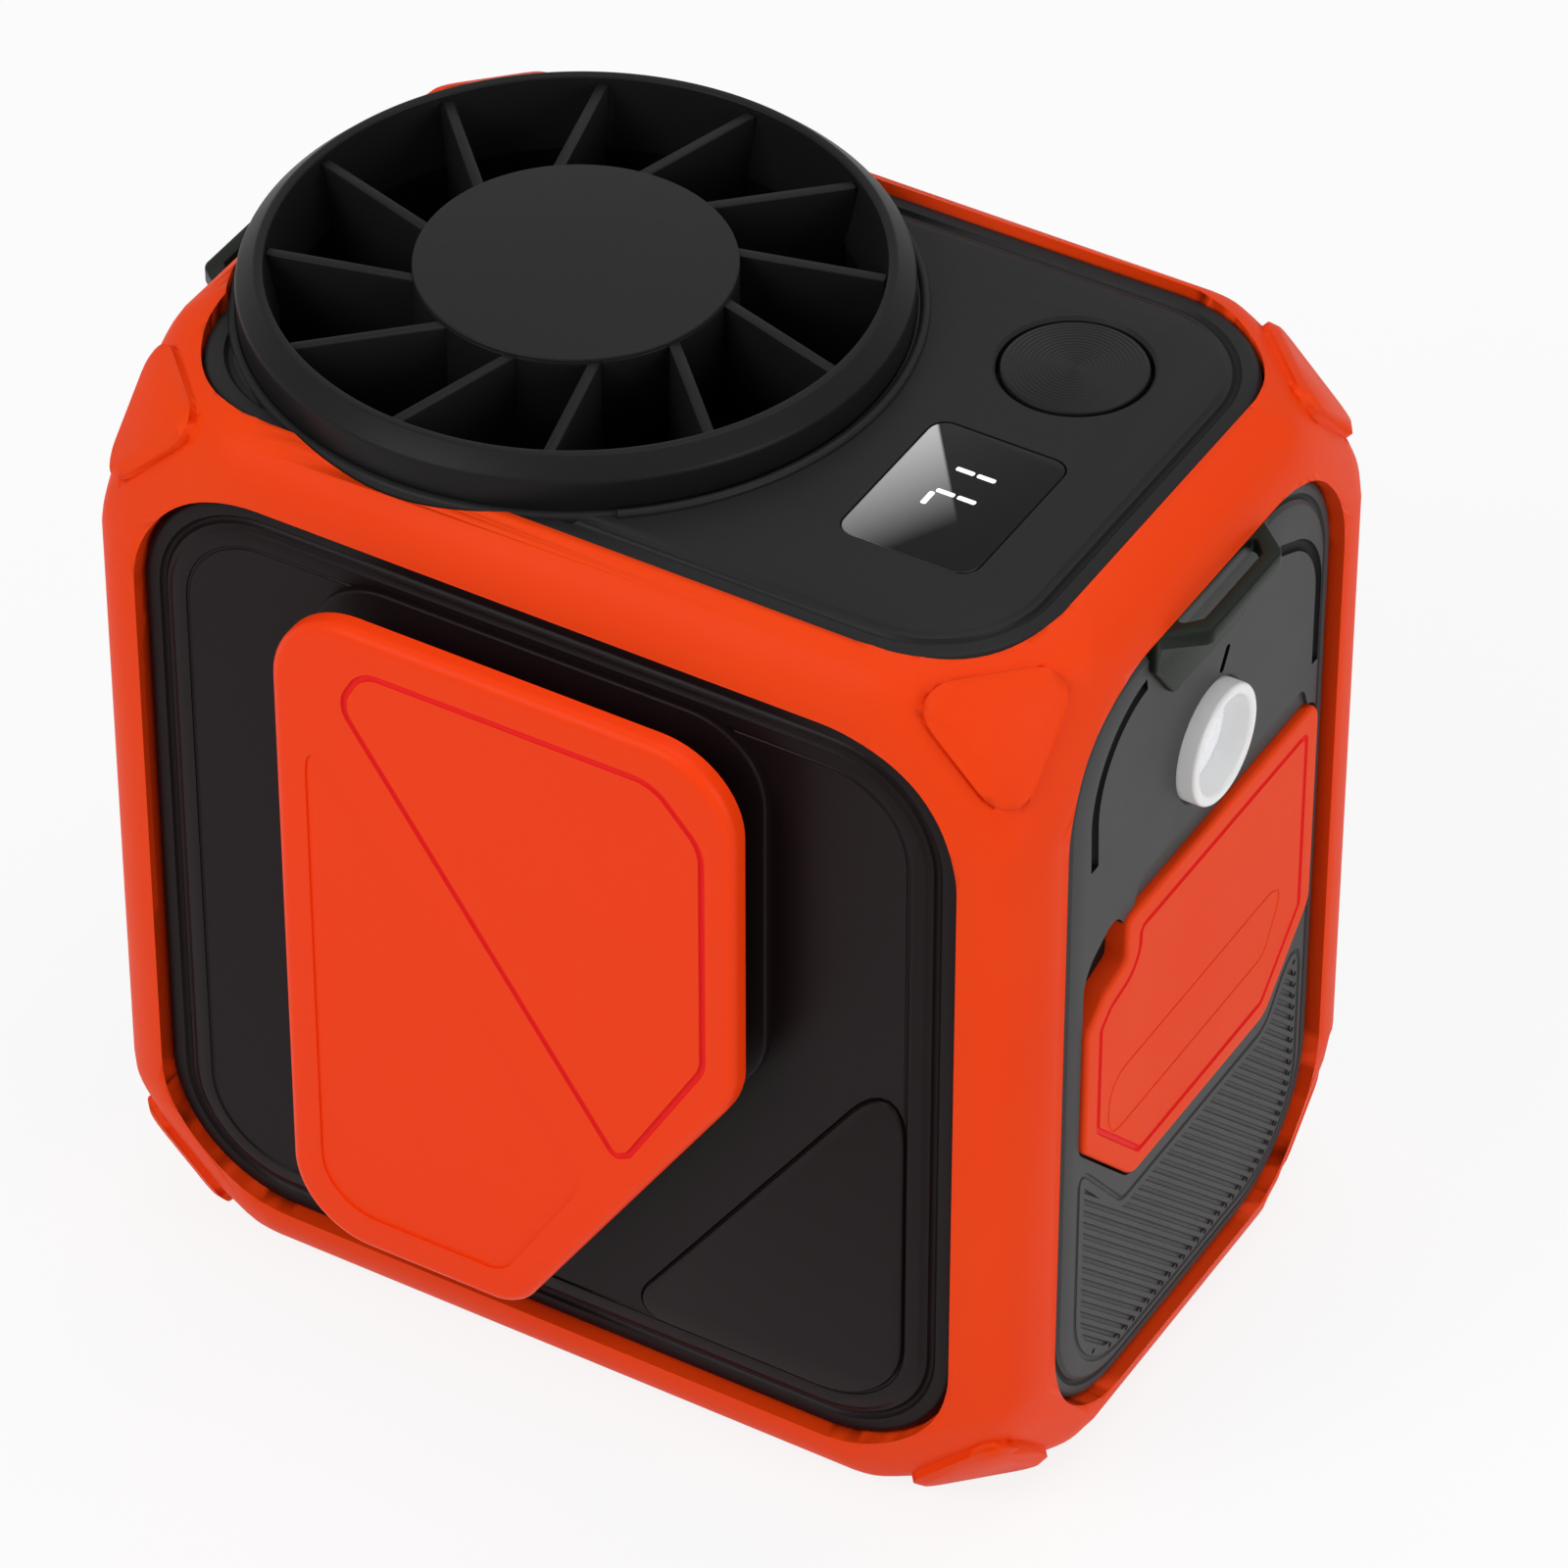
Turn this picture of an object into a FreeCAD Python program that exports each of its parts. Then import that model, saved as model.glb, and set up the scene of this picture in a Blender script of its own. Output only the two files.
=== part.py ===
import FreeCAD, Part
import math
import os

Vector = FreeCAD.Vector
os.makedirs("parts", exist_ok=True)

# Belt fan with torch and display. Millimetres, +Z up, the base rests on Z = 0.
# The belt clip is on the front (-Y), the torch and the port flap on the right (+X).

# Body block
body_width = 100.0
body_depth = 69.0
body_height = 100.5
cage_wall = 3.2
cage_edge_round = 7.0
corner_setback = 13.0
pad_reach = 9.8
pad_height = 0.8
pad_slope = 1.1
pad_corner_round = 3.0

# Cage windows: width of the rubber rim beside each window
top_rim_x = 5.6
top_rim_y = 4.4
front_rim_x = 6.6
front_rim_z = 7.2
side_rim_y = 8.4
side_rim_z = 6.3
window_round = 14.0
panel_gap = 0.15

# Panels in the windows
panel_recess = 1.2
panel_edge_round = 0.8
field_inset = 3.5
field_step = 0.3
line_width = 0.45
line_depth = 0.3
contour_inset = 5.0
triangle_left = 8.0
triangle_top = 6.0

# Inner shell
shell_wall = 2.0
lid_height = 18.5
lid_screw_inset = 5.5
lid_screw_radius = 1.1
lid_boss_radius = 3.0
lid_boss_length = 14.0
boss_web = 1.6
screw_head_radius = 2.0
screw_head_height = 1.2
screw_clearance = 0.15

# Outlet at the top and the fan under it
fan_x = -16.6
collar_rise = 4.1
collar_lip_round = 0.35
collar_bevel_drop = 1.5
collar_lip_radius = 29.2
collar_wall_radius = 31.2
collar_foot_radius = 32.0
throat_radius = 28.5
throat_fit = 0.1
rib_arc_width = 0.8
rib_arc_height = 0.5
rib_arc_start = -52.0
rib_arc_end = 50.0
vane_count = 12
vane_thickness = 1.1
vane_depth = 13.0
vane_drop = 0.7
vane_sweep_radius = 6.1
hub_radius = 15.0
hub_wall = 1.4
hub_cap_thickness = 1.5
hub_cap_rise = 0.4
motor_plate_thickness = 1.6
duct_throat = 27.3
duct_wall = 0.75
duct_fit = 0.1
duct_length = 38.0
blade_count = 11
blade_tip_gap = 0.6
blade_thickness = 1.2
blade_camber = 0.14
blade_height = 15.0
blade_root_angle = 52.0
blade_tip_angle = 32.0
impeller_hub_radius = 14.0
impeller_hub_wall = 1.5
impeller_floor = 2.0
impeller_gap = 1.5
rotor_ring_wall = 1.4
stator_air_gap = 0.4
stator_height = 9.0
stator_slots = 9
bearing_tube_wall = 1.2
bearing_radius = 4.0
bearing_length = 4.0
shaft_radius = 1.5
shaft_fit = 0.03

# Belt clip (face coordinates: x, z from the middle of the front)
clip_left = -24.4
clip_right = 24.3
clip_top = 39.2
clip_bottom = -36.0
clip_cut_side = 0.7
clip_cut_foot = 0.5
clip_round = 8.5
clip_cut_round = 4.5
clip_thickness = 2.3
clip_edge_bevel = 0.8
belt_gap = 4.2
clip_base_inset = 0.4
clip_pivot_drop = 12.2
clip_pin_radius = 0.9
clip_pin_fit = 0.04
clip_knuckle_radius = 1.75
clip_lug_x = 9.2
clip_lug_width = 3.0
clip_knuckle_gap = 0.3
clip_knuckle_width = 3.0
belt_lip_height = 2.0
belt_lip_length = 15.0
belt_lip_gap = 0.3
spring_wire = 0.55
spring_turns = 4.5
spring_sides = 12
spring_leg = 7.0
spring_coil_radius = 1.35

# Power button and display on the top
button_x = 27.5
button_y = 14.7
button_radius = 6.9
button_hole_radius = 7.3
button_thickness = 1.2
button_bevel = 0.3
button_stroke = 0.6
button_stem_radius = 2.0
button_stem_fit = 0.06
switch_size = 6.0
switch_height = 3.4
plunger_radius = 1.6
display_x = 27.55
display_y = -7.65
display_width = 13.9
display_length = 18.7
display_round = 1.8
display_glass = 1.5
display_fit = 0.08
display_rim = 0.8

# Boards
board_thickness = 1.6
display_board_drop = 9.0
display_board_left = 15.5
display_board_width = 27.5
display_board_length = 40.0
board_post_radius = 2.2
board_screw_radius = 0.8
board_screw_length = 5.0
main_board_x = 31.6
main_board_length = 52.0
main_board_low = 27.0
main_board_drop = 20.5

# Torch on the right side (face coordinates: y, z from the middle of the side)
torch_y = 2.0
torch_z = 23.5
torch_ring_radius = 6.0
torch_ring_wall = 1.1
torch_ring_rise = 0.9
torch_lens_thickness = 1.6
torch_lens_bevel = 0.5
torch_depth = 8.0
torch_fit = 0.05
light_board_size = 11.0
light_chip_size = 3.0
light_chip_height = 0.6

# Port flap on the right side
flap_left = -20.7
flap_right = 23.5
flap_top = 13.3
flap_bottom = -19.6
flap_notch_y = -13.5
flap_notch_z = 8.6
flap_gap = 0.3
flap_rise = 0.5
flap_floor_gap = 0.2
flap_line_inset = 2.5
label_low = -11.2
label_high = -4.2
finger_ledge = 3.0
finger_floor = 0.8
usb_a_y = 8.0
usb_c_y = -9.5
usb_z = -1.0
usb_a_width = 13.2
usb_a_height = 5.9
usb_a_depth = 13.5
usb_a_wall = 0.35
usb_c_width = 8.9
usb_c_height = 3.2
usb_c_depth = 7.4
usb_c_wall = 0.3
plug_depth = 2.0
plug_gap = 0.55
tongue_recess = 2.6
bay_wall = 1.6

# Rib field on the side panels
field_left = -20.5
field_right = 24.0
field_bottom = -41.0
field_offset = 2.4
rib_pitch = 1.0
groove_width = 0.32
groove_depth = 0.4

# Strap brackets on both sides
strap_drop = 8.05
strap_height = 1.7
strap_reach = 4.6
strap_bar_half = 6.6
strap_root_half = 10.4
strap_bar_width = 1.5
strap_plate_drop = 7.0
strap_plate_thickness = 0.8

# Air intake at the back
intake_left = -36.0
intake_right = 12.0
intake_low = 27.0
intake_high = 60.0
slot_pitch = 4.2
slot_width = 2.2
slot_slant = 45.0
screen_thickness = 0.6
screen_pitch = 4.0
screen_hole = 2.9

# Battery
cell_radius = 9.2
cell_length = 65.0
cell_spacing = 18.9
cell_count = 3
cell_left = -37.5
cell_fit = 0.15
holder_floor = 1.0
holder_end = 1.5
holder_height = 10.0
tab_thickness = 0.3
tab_half = 3.0

# Base
base_screw_x = 36.0
base_screw_y = 22.0

# Sizes that follow from the driving values
half_width = body_width / 2
half_depth = body_depth / 2
half_height = body_height / 2
shell_inset = cage_wall + shell_wall
panel_thickness = cage_wall - panel_recess
field_level = field_step - panel_recess
lip_top = body_height + collar_rise
duct_radius = duct_throat + duct_wall
duct_top = body_height - cage_wall
duct_bottom = duct_top - duct_length
vane_top = lip_top - vane_drop
vane_bottom = vane_top - vane_depth
plate_level = vane_bottom - motor_plate_thickness
impeller_top = plate_level - impeller_gap
impeller_floor_level = impeller_top - blade_height - impeller_floor
blade_tip_radius = duct_throat - blade_tip_gap
rotor_outer = impeller_hub_radius - impeller_hub_wall
rotor_inner = rotor_outer - rotor_ring_wall
stator_outer = rotor_inner - stator_air_gap
tube_outer = bearing_radius + bearing_tube_wall
pivot_z = clip_top - clip_pivot_drop
pivot_out = belt_gap / 2
clip_face = belt_gap + clip_thickness
display_board_top = body_height - display_board_drop
shell_face_x = half_width - cage_wall
shell_split = body_height - lid_height
main_board_high = body_height - main_board_drop
strap_z = half_height - strap_drop
cell_z = shell_inset + holder_floor + cell_radius
base_screw_seat = -panel_thickness
base_boss_top = shell_inset + holder_floor - 0.2


def side_placement(side):
    """Placement that carries face coordinates (across, up, out) onto one side of the body."""
    across, up, out, origin = {
        "top": (Vector(1, 0, 0), Vector(0, 1, 0), Vector(0, 0, 1), Vector(0, 0, body_height)),
        "bottom": (Vector(1, 0, 0), Vector(0, -1, 0), Vector(0, 0, -1), Vector(0, 0, 0)),
        "front": (Vector(1, 0, 0), Vector(0, 0, 1), Vector(0, -1, 0), Vector(0, -half_depth, half_height)),
        "back": (Vector(-1, 0, 0), Vector(0, 0, 1), Vector(0, 1, 0), Vector(0, half_depth, half_height)),
        "right": (Vector(0, 1, 0), Vector(0, 0, 1), Vector(1, 0, 0), Vector(half_width, 0, half_height)),
        "left": (Vector(0, -1, 0), Vector(0, 0, 1), Vector(-1, 0, 0), Vector(-half_width, 0, half_height)),
    }[side]
    return FreeCAD.Placement(FreeCAD.Matrix(
        across.x, up.x, out.x, origin.x,
        across.y, up.y, out.y, origin.y,
        across.z, up.z, out.z, origin.z,
        0, 0, 0, 1))


def on_side(shape, side):
    """The shape, drawn in face coordinates, set on that side of the body."""
    placed = shape.copy()
    placed.Placement = side_placement(side).multiply(placed.Placement)
    return placed


def rounded_wire(corners):
    """Closed wire through corners (x, y, radius), each corner turned into an arc."""
    count = len(corners)
    turns = []
    for index, (x, y, radius) in enumerate(corners):
        here = Vector(x, y, 0)
        before = corners[index - 1]
        after = corners[(index + 1) % count]
        back = (Vector(before[0], before[1], 0) - here).normalize()
        ahead = (Vector(after[0], after[1], 0) - here).normalize()
        half_angle = back.getAngle(ahead) / 2
        reach = radius / math.tan(half_angle)
        middle = (back + ahead).normalize() * (radius / math.sin(half_angle) - radius)
        turns.append((here + back * reach, here + middle, here + ahead * reach, radius))
    edges = []
    for index, (start, middle, end, radius) in enumerate(turns):
        if radius > 0:
            edges.append(Part.Arc(start, middle, end).toShape())
        following = turns[(index + 1) % count][0]
        if end.distanceToPoint(following) > 1e-6:
            edges.append(Part.LineSegment(end, following).toShape())
    return Part.Wire(edges)


def prism(corners, low, high):
    """Solid between two levels over an outline with rounded corners."""
    face = Part.Face(rounded_wire(corners))
    face.translate(Vector(0, 0, low))
    return face.extrude(Vector(0, 0, high - low))


def inset(corners, gap):
    """The outline moved inwards by a gap (outwards if negative), its arcs kept concentric."""
    count = len(corners)
    area = sum(corners[i - 1][0] * corners[i][1] - corners[i][0] * corners[i - 1][1] for i in range(count))
    turn = 1 if area > 0 else -1
    lines = []
    for index in range(count):
        start = Vector(corners[index][0], corners[index][1], 0)
        end = Vector(corners[(index + 1) % count][0], corners[(index + 1) % count][1], 0)
        along = (end - start).normalize()
        inward = Vector(-along.y, along.x, 0) * turn
        lines.append((start + inward * gap, along))
    moved = []
    for index in range(count):
        point, along = lines[index - 1]
        other, ahead = lines[index]
        cross = along.x * ahead.y - along.y * ahead.x
        step = ((other.x - point.x) * ahead.y - (other.y - point.y) * ahead.x) / cross
        corner = point + along * step
        convex = cross * turn > 0
        radius = corners[index][2]
        if radius > 0:
            radius = max(radius - gap if convex else radius + gap, 0.05)
        moved.append((corner.x, corner.y, radius))
    return moved


def rectangle(half_x, half_y, radius, x=0.0, y=0.0):
    """Corners of a rounded rectangle about a centre."""
    return [(x - half_x, y - half_y, radius), (x + half_x, y - half_y, radius),
            (x + half_x, y + half_y, radius), (x - half_x, y + half_y, radius)]


def rim_edges(solid, level):
    """Edges of a solid that lie wholly at one level."""
    return [edge for edge in solid.Edges
            if abs(edge.BoundBox.ZMin - level) < 1e-4 and abs(edge.BoundBox.ZMax - level) < 1e-4]


def cylinder(radius, low, high, x=0.0, y=0.0):
    """Upright cylinder between two levels."""
    return Part.makeCylinder(radius, high - low, Vector(x, y, low))


def ring(outer, inner, low, high, x=0.0, y=0.0):
    """Upright tube between two levels."""
    return cylinder(outer, low, high, x, y).cut(cylinder(inner, low - 1, high + 1, x, y))


def block(x0, x1, y0, y1, z0, z1):
    """Box between two corners."""
    return Part.makeBox(x1 - x0, y1 - y0, z1 - z0, Vector(x0, y0, z0))


def line_groove(corners, level, width=line_width, depth=line_depth):
    """Cutter for a narrow groove that follows the inside of an outline."""
    outer = prism(corners, level - depth, level + 1)
    return outer.cut(prism(inset(corners, width), level - depth - 1, level + 2))


def save(shape, node):
    """Write one sub-part and report it."""
    shape.exportStep("parts/" + node + ".step")
    print(node, len(shape.Solids), round(shape.Volume, 1), shape.isValid())


def faceted_block(gap, rounded=True):
    """Body block moved inwards by a gap: soft edges and a small facet across each corner."""
    solid = block(gap - half_width, half_width - gap, gap - half_depth, half_depth - gap,
                  gap, body_height - gap)
    facet_drop = corner_setback / math.sqrt(3) - gap * (math.sqrt(3) - 1)
    for sx in (-1, 1):
        for sy in (-1, 1):
            for sz in (-1, 1):
                out = Vector(sx, sy, sz).normalize()
                corner = Vector(sx * (half_width - gap), sy * (half_depth - gap),
                                half_height + sz * (half_height - gap))
                foot = corner - out * facet_drop
                solid = solid.cut(Part.makeCylinder(3 * facet_drop, 3 * facet_drop, foot, out))
    if rounded:
        return solid.makeFillet(cage_edge_round - gap, solid.Edges)
    straight = [edge for edge in solid.Edges if edge.Length > body_depth / 2]
    return solid.makeChamfer((cage_edge_round - gap) * (2 - math.sqrt(2)), straight)


def corner_pads():
    """Raised rounded triangles on the eight corner facets, one apex along each body edge."""
    base = [(pad_reach * math.cos(math.radians(90 + 120 * i)),
             pad_reach * math.sin(math.radians(90 + 120 * i)), pad_corner_round) for i in range(3)]
    rise = 2 * pad_height
    low = rounded_wire(inset(base, -rise * pad_slope))
    high = rounded_wire(inset(base, rise * pad_slope))
    low.translate(Vector(0, 0, -rise))
    high.translate(Vector(0, 0, rise))
    pad = Part.makeLoft([low, high], True, True)
    drop = corner_setback / math.sqrt(3)
    pads = []
    for sx in (-1, 1):
        for sy in (-1, 1):
            for sz in (-1, 1):
                out = Vector(sx, sy, sz).normalize()
                up = (Vector(0, 0, -sz) - out * Vector(0, 0, -sz).dot(out)).normalize()
                across = up.cross(out)
                foot = Vector(sx * half_width, sy * half_depth, half_height + sz * half_height) - out * drop
                placed = pad.copy()
                placed.Placement = FreeCAD.Placement(FreeCAD.Matrix(
                    across.x, up.x, out.x, foot.x,
                    across.y, up.y, out.y, foot.y,
                    across.z, up.z, out.z, foot.z,
                    0, 0, 0, 1))
                pads.append(placed)
    return faceted_block(-pad_height).common(Part.makeCompound(pads))


top_window = rectangle(half_width - top_rim_x, half_depth - top_rim_y, window_round)
front_window = rectangle(half_width - front_rim_x, half_height - front_rim_z, window_round)
side_window = rectangle(half_depth - side_rim_y, half_height - side_rim_z, window_round)
windows = {"top": top_window, "bottom": top_window, "front": front_window, "back": front_window,
           "right": side_window, "left": side_window}


def bumper_cage():
    """Rubber sleeve: the outer block with corner pads, hollowed to the shell and open at six windows."""
    cage = faceted_block(0).fuse(corner_pads())
    cage = cage.cut(faceted_block(cage_wall, False))
    for side, corners in windows.items():
        cage = cage.cut(on_side(prism(corners, -2 * cage_wall, 2 * pad_height), side))
    cage = cage.cut(cylinder(collar_foot_radius + panel_gap, duct_top, lip_top, fan_x))
    cage = cage.cut(cylinder(duct_radius + duct_fit, duct_top - cage_edge_round, lip_top, fan_x))
    below = block(-body_width, body_width, -body_depth, body_depth, -cage_wall, 0)
    return cage.cut(below).removeSplitter()


def panel_blank(side, level=field_level):
    """Plate that fills one window, with a rounded rim and a field raised to a level."""
    outline = inset(windows[side], panel_gap)
    plate = prism(outline, -cage_wall, -panel_recess)
    plate = plate.makeChamfer(panel_edge_round, rim_edges(plate, -panel_recess))
    field = prism(inset(outline, field_inset), -cage_wall, level)
    return plate.fuse(field).removeSplitter()


def top_panel():
    """Top plate: foot of the outlet, rib beside it, button hole and display opening."""
    plate = panel_blank("top")
    foot = cylinder(collar_foot_radius, -cage_wall, -panel_recess, fan_x)
    foot = foot.makeChamfer(panel_edge_round / 2, rim_edges(foot, -panel_recess))
    plate = plate.fuse(foot)
    rib = ring(collar_foot_radius + rib_arc_width / 2, collar_foot_radius - rib_arc_width / 2,
               -panel_recess - rib_arc_height, field_level + rib_arc_height, fan_x)
    sweep = Part.makeCylinder(2 * collar_foot_radius, 4 * cage_wall, Vector(fan_x, 0, -2 * cage_wall),
                              Vector(0, 0, 1), rib_arc_end - rib_arc_start)
    sweep.rotate(Vector(fan_x, 0, 0), Vector(0, 0, 1), rib_arc_start)
    plate = plate.fuse(rib.common(sweep))
    plate = plate.cut(cylinder(collar_lip_radius + throat_fit, -2 * cage_wall, cage_wall, fan_x))
    plate = plate.cut(ring(collar_wall_radius, throat_radius, -panel_recess, cage_wall, fan_x))
    plate = plate.cut(cylinder(button_hole_radius, -2 * cage_wall, cage_wall, button_x, button_y))
    plate = plate.cut(prism(display_outline(-display_fit), -2 * cage_wall, cage_wall))
    return on_side(plate.removeSplitter(), "top")


def display_outline(gap):
    """Outline of the display glass, moved inwards by a gap."""
    return inset(rectangle(display_width / 2, display_length / 2, display_round, display_x, display_y), gap)


def clip_outline():
    """Outline of the belt clip: rounded plate with its lower right corner cut away at a slant."""
    return [(clip_left, clip_bottom, clip_round), (clip_cut_foot, clip_bottom, clip_cut_round),
            (clip_right, clip_cut_side, clip_round), (clip_right, clip_top, clip_round),
            (clip_left, clip_top, clip_round)]


def front_panel():
    """Clip side plate with a contour line and a raised triangle in its lower right corner."""
    plate = panel_blank("front")
    plate = plate.cut(line_groove(inset(windows["front"], contour_inset), field_level))
    edge = contour_inset + line_width
    right = half_width - front_rim_x - edge
    low = front_rim_z + edge - half_height
    triangle = [(triangle_left, low, 2.5), (right, low, window_round - edge), (right, triangle_top, 3.0)]
    return on_side(plate.fuse(prism(triangle, -cage_wall, field_level + field_step)), "front")


def intake_slots(low, high):
    """Slanted slot cutters over the intake field, in face coordinates of the back."""
    middle_x = -(intake_left + intake_right) / 2
    middle_y = (intake_low + intake_high) / 2 - half_height
    half_x = (intake_right - intake_left) / 2
    half_y = (intake_high - intake_low) / 2
    area = prism(rectangle(half_x, half_y, 5.0, middle_x, middle_y), low, high)
    reach = half_x + half_y
    slots = []
    for step in range(-math.floor(reach / slot_pitch), math.floor(reach / slot_pitch) + 1):
        slot = block(-2 * reach, 2 * reach, -slot_width / 2, slot_width / 2, low, high)
        slot.translate(Vector(0, step * slot_pitch, 0))
        slot.rotate(Vector(0, 0, 0), Vector(0, 0, 1), slot_slant)
        slot.translate(Vector(middle_x, middle_y, 0))
        slots.append(slot)
    return area.common(Part.makeCompound(slots))


def back_panel():
    """Rear plate with the slanted air intake slots."""
    plate = panel_blank("back").cut(intake_slots(-2 * cage_wall, cage_wall))
    return on_side(plate, "back")


def flap_outline():
    """Outline of the rubber port flap: cut lower corners and a finger notch at its upper left."""
    return [(flap_left, flap_bottom + 10.2, 2.0), (flap_left + 9.7, flap_bottom, 2.5),
            (flap_right - 8.5, flap_bottom, 3.0), (flap_right, flap_bottom + 8.6, 3.0),
            (flap_right, flap_top, 2.0), (flap_notch_y, flap_top, 1.2),
            (flap_notch_y, flap_notch_z, 1.0), (flap_left + 3.2, flap_notch_z - 1.0, 1.2),
            (flap_left, flap_notch_z - 3.6, 1.2)]


def rib_field_outline():
    """Area of the fine slanted ribs below the flap."""
    return [(field_left, flap_bottom + 8.0, 1.0), (flap_left + 8.6, flap_bottom - field_offset, 2.0),
            (flap_right - 7.5, flap_bottom - field_offset, 3.0),
            (field_right, flap_bottom + 7.5, 2.0), (field_right, field_bottom, 10.0),
            (field_left, field_bottom, 10.0)]


def rib_grooves():
    """Fine slanted grooves and the line round them, as cutters in face coordinates."""
    outline = rib_field_outline()
    area = prism(inset(outline, groove_width), field_level - groove_depth, field_level + 1)
    span = field_right - flap_bottom - field_bottom
    grooves = []
    for step in range(-math.ceil(span / rib_pitch), math.ceil(span / rib_pitch)):
        groove = block(-span, span, -groove_width / 2, groove_width / 2,
                       field_level - groove_depth, field_level + 1)
        groove.translate(Vector(0, step * rib_pitch, 0))
        groove.rotate(Vector(0, 0, 0), Vector(0, 0, 1), -45)
        groove.translate(Vector(0, (flap_bottom + field_bottom) / 2, 0))
        grooves.append(groove)
    return area.common(Part.makeCompound(grooves)).fuse(line_groove(outline, field_level, groove_width))


def side_panel_blank(side):
    """Side plate with the rib field and the seat of the strap bracket."""
    plate = panel_blank(side)
    grooves = rib_grooves()
    if side == "left":
        grooves = grooves.mirror(Vector(0, 0, 0), Vector(1, 0, 0))
    return plate.cut(grooves)


def right_panel():
    """Torch side plate: torch hole, flap pocket and the ledge for a finger above the flap."""
    plate = side_panel_blank("right")
    plate = plate.cut(cylinder(torch_ring_radius + torch_fit, -2 * cage_wall, cage_wall, torch_y, torch_z))
    plate = plate.cut(prism(inset(flap_outline(), -flap_gap), -2 * cage_wall, cage_wall))
    ledge = prism([(flap_notch_y + 1, flap_top - 1, 1.0), (flap_right - 1.5, flap_top - 1, 1.0),
                   (flap_right - 3, flap_top + finger_ledge, 1.5),
                   (flap_notch_y + 3, flap_top + finger_ledge, 1.5)], field_level - 0.5, cage_wall)
    plate = plate.cut(ledge)
    recess = prism([(flap_left, flap_notch_z - 5, 1.0), (flap_notch_y, flap_notch_z - 5, 1.0),
                    (flap_notch_y, flap_top - 1, 1.0), (flap_left + 2, flap_top - 3, 2.0)],
                   -cage_wall + finger_floor, cage_wall)
    plate = plate.cut(recess)
    return on_side(plate, "right")


def left_panel():
    """Plain side plate with the same rib field."""
    return on_side(side_panel_blank("left"), "left")


def base_screw_places():
    """Where the four base screws stand."""
    return [(sx * base_screw_x, sy * base_screw_y) for sx in (-1, 1) for sy in (-1, 1)]


def bottom_panel():
    """Base plate with four counterbored screw holes."""
    plate = panel_blank("bottom", 0)
    for x, y in base_screw_places():
        plate = plate.cut(cylinder(lid_screw_radius + screw_clearance, -2 * cage_wall, cage_wall, x, y))
        plate = plate.cut(cylinder(screw_head_radius + screw_clearance, base_screw_seat, cage_wall, x, y))
    return on_side(plate, "bottom")


def screw(x, y, head_top, length):
    """Upright pan head screw."""
    head = cylinder(screw_head_radius, head_top - screw_head_height, head_top, x, y)
    shank = cylinder(lid_screw_radius, head_top - length, head_top, x, y)
    drive = cylinder(screw_head_radius / 2.5, head_top - screw_head_height / 2, head_top + 1, x, y)
    return head.fuse(shank).cut(drive)


def base_screws():
    """Four screws that hold the base plate to the shell floor."""
    head_top = base_screw_seat + screw_head_height
    length = base_boss_top - 0.2 + head_top
    screws = [on_side(screw(x, y, head_top, length), "bottom") for x, y in base_screw_places()]
    return Part.makeCompound(screws)


def lid_screw_places():
    """Where the four shell screws stand, in the inner corners."""
    x = half_width - shell_inset - lid_screw_inset
    y = half_depth - shell_inset - lid_screw_inset
    return [(sx * x, sy * y) for sx in (-1, 1) for sy in (-1, 1)]


def lid_screws():
    """Four screws that hold the upper shell to the lower one, under the top panel."""
    head_top = duct_top
    length = body_height - shell_inset - shell_split + shell_wall + lid_boss_length / 2
    return Part.makeCompound([screw(x, y, head_top, length) for x, y in lid_screw_places()])


def corner_boss(x, y, low, high):
    """Screw boss in a shell corner with a web to each wall beside it."""
    boss = cylinder(lid_boss_radius, low, high, x, y)
    x_wall = math.copysign(half_width - shell_inset + 0.5, x)
    y_wall = math.copysign(half_depth - shell_inset + 0.5, y)
    half = boss_web / 2
    across = block(min(x, x_wall), max(x, x_wall), y - half, y + half, low, high)
    along = block(x - half, x + half, min(y, y_wall), max(y, y_wall), low, high)
    return boss.multiFuse([across, along])


def shell_body():
    """Hollow inner shell with its bosses and openings, before it is parted."""
    shell = faceted_block(cage_wall, False).cut(faceted_block(shell_inset, False))
    bosses = [corner_boss(x, y, shell_split - lid_boss_length, duct_top - shell_wall / 2)
              for x, y in lid_screw_places()]
    bosses += [cylinder(lid_boss_radius, shell_inset - shell_wall / 2, base_boss_top, x, y)
               for x, y in base_screw_places()]
    shell = shell.multiFuse(bosses)
    shell = shell.cut(cylinder(duct_radius + duct_fit, duct_bottom, lip_top, fan_x))
    stem_hole = cylinder(button_stem_radius + button_stem_fit, -2 * shell_inset, 0, button_x, button_y)
    module_hole = prism(display_outline(display_rim - display_fit), -2 * shell_inset, 0)
    shell = shell.cut(on_side(stem_hole, "top")).cut(on_side(module_hole, "top"))
    torch_hole = cylinder(torch_ring_radius - torch_ring_wall + torch_fit, -2 * shell_inset, 0, torch_y, torch_z)
    shell = shell.cut(on_side(torch_hole, "right"))
    shell = shell.cut(on_side(bay_block(panel_gap, 2 * shell_inset), "right"))
    shell = shell.cut(on_side(intake_opening(0, -2 * shell_inset, 0), "back"))
    for x, y in base_screw_places():
        shell = shell.cut(cylinder(lid_screw_radius, 0, shell_inset + holder_floor, x, y))
    for x, y in lid_screw_places():
        shell = shell.cut(cylinder(lid_screw_radius + screw_clearance, shell_split, lip_top, x, y))
        shell = shell.cut(cylinder(lid_screw_radius, shell_split - lid_boss_length, shell_split, x, y))
        shell = shell.cut(cylinder(screw_head_radius + screw_clearance, duct_top - screw_head_height,
                                   lip_top, x, y))
    return shell


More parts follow.
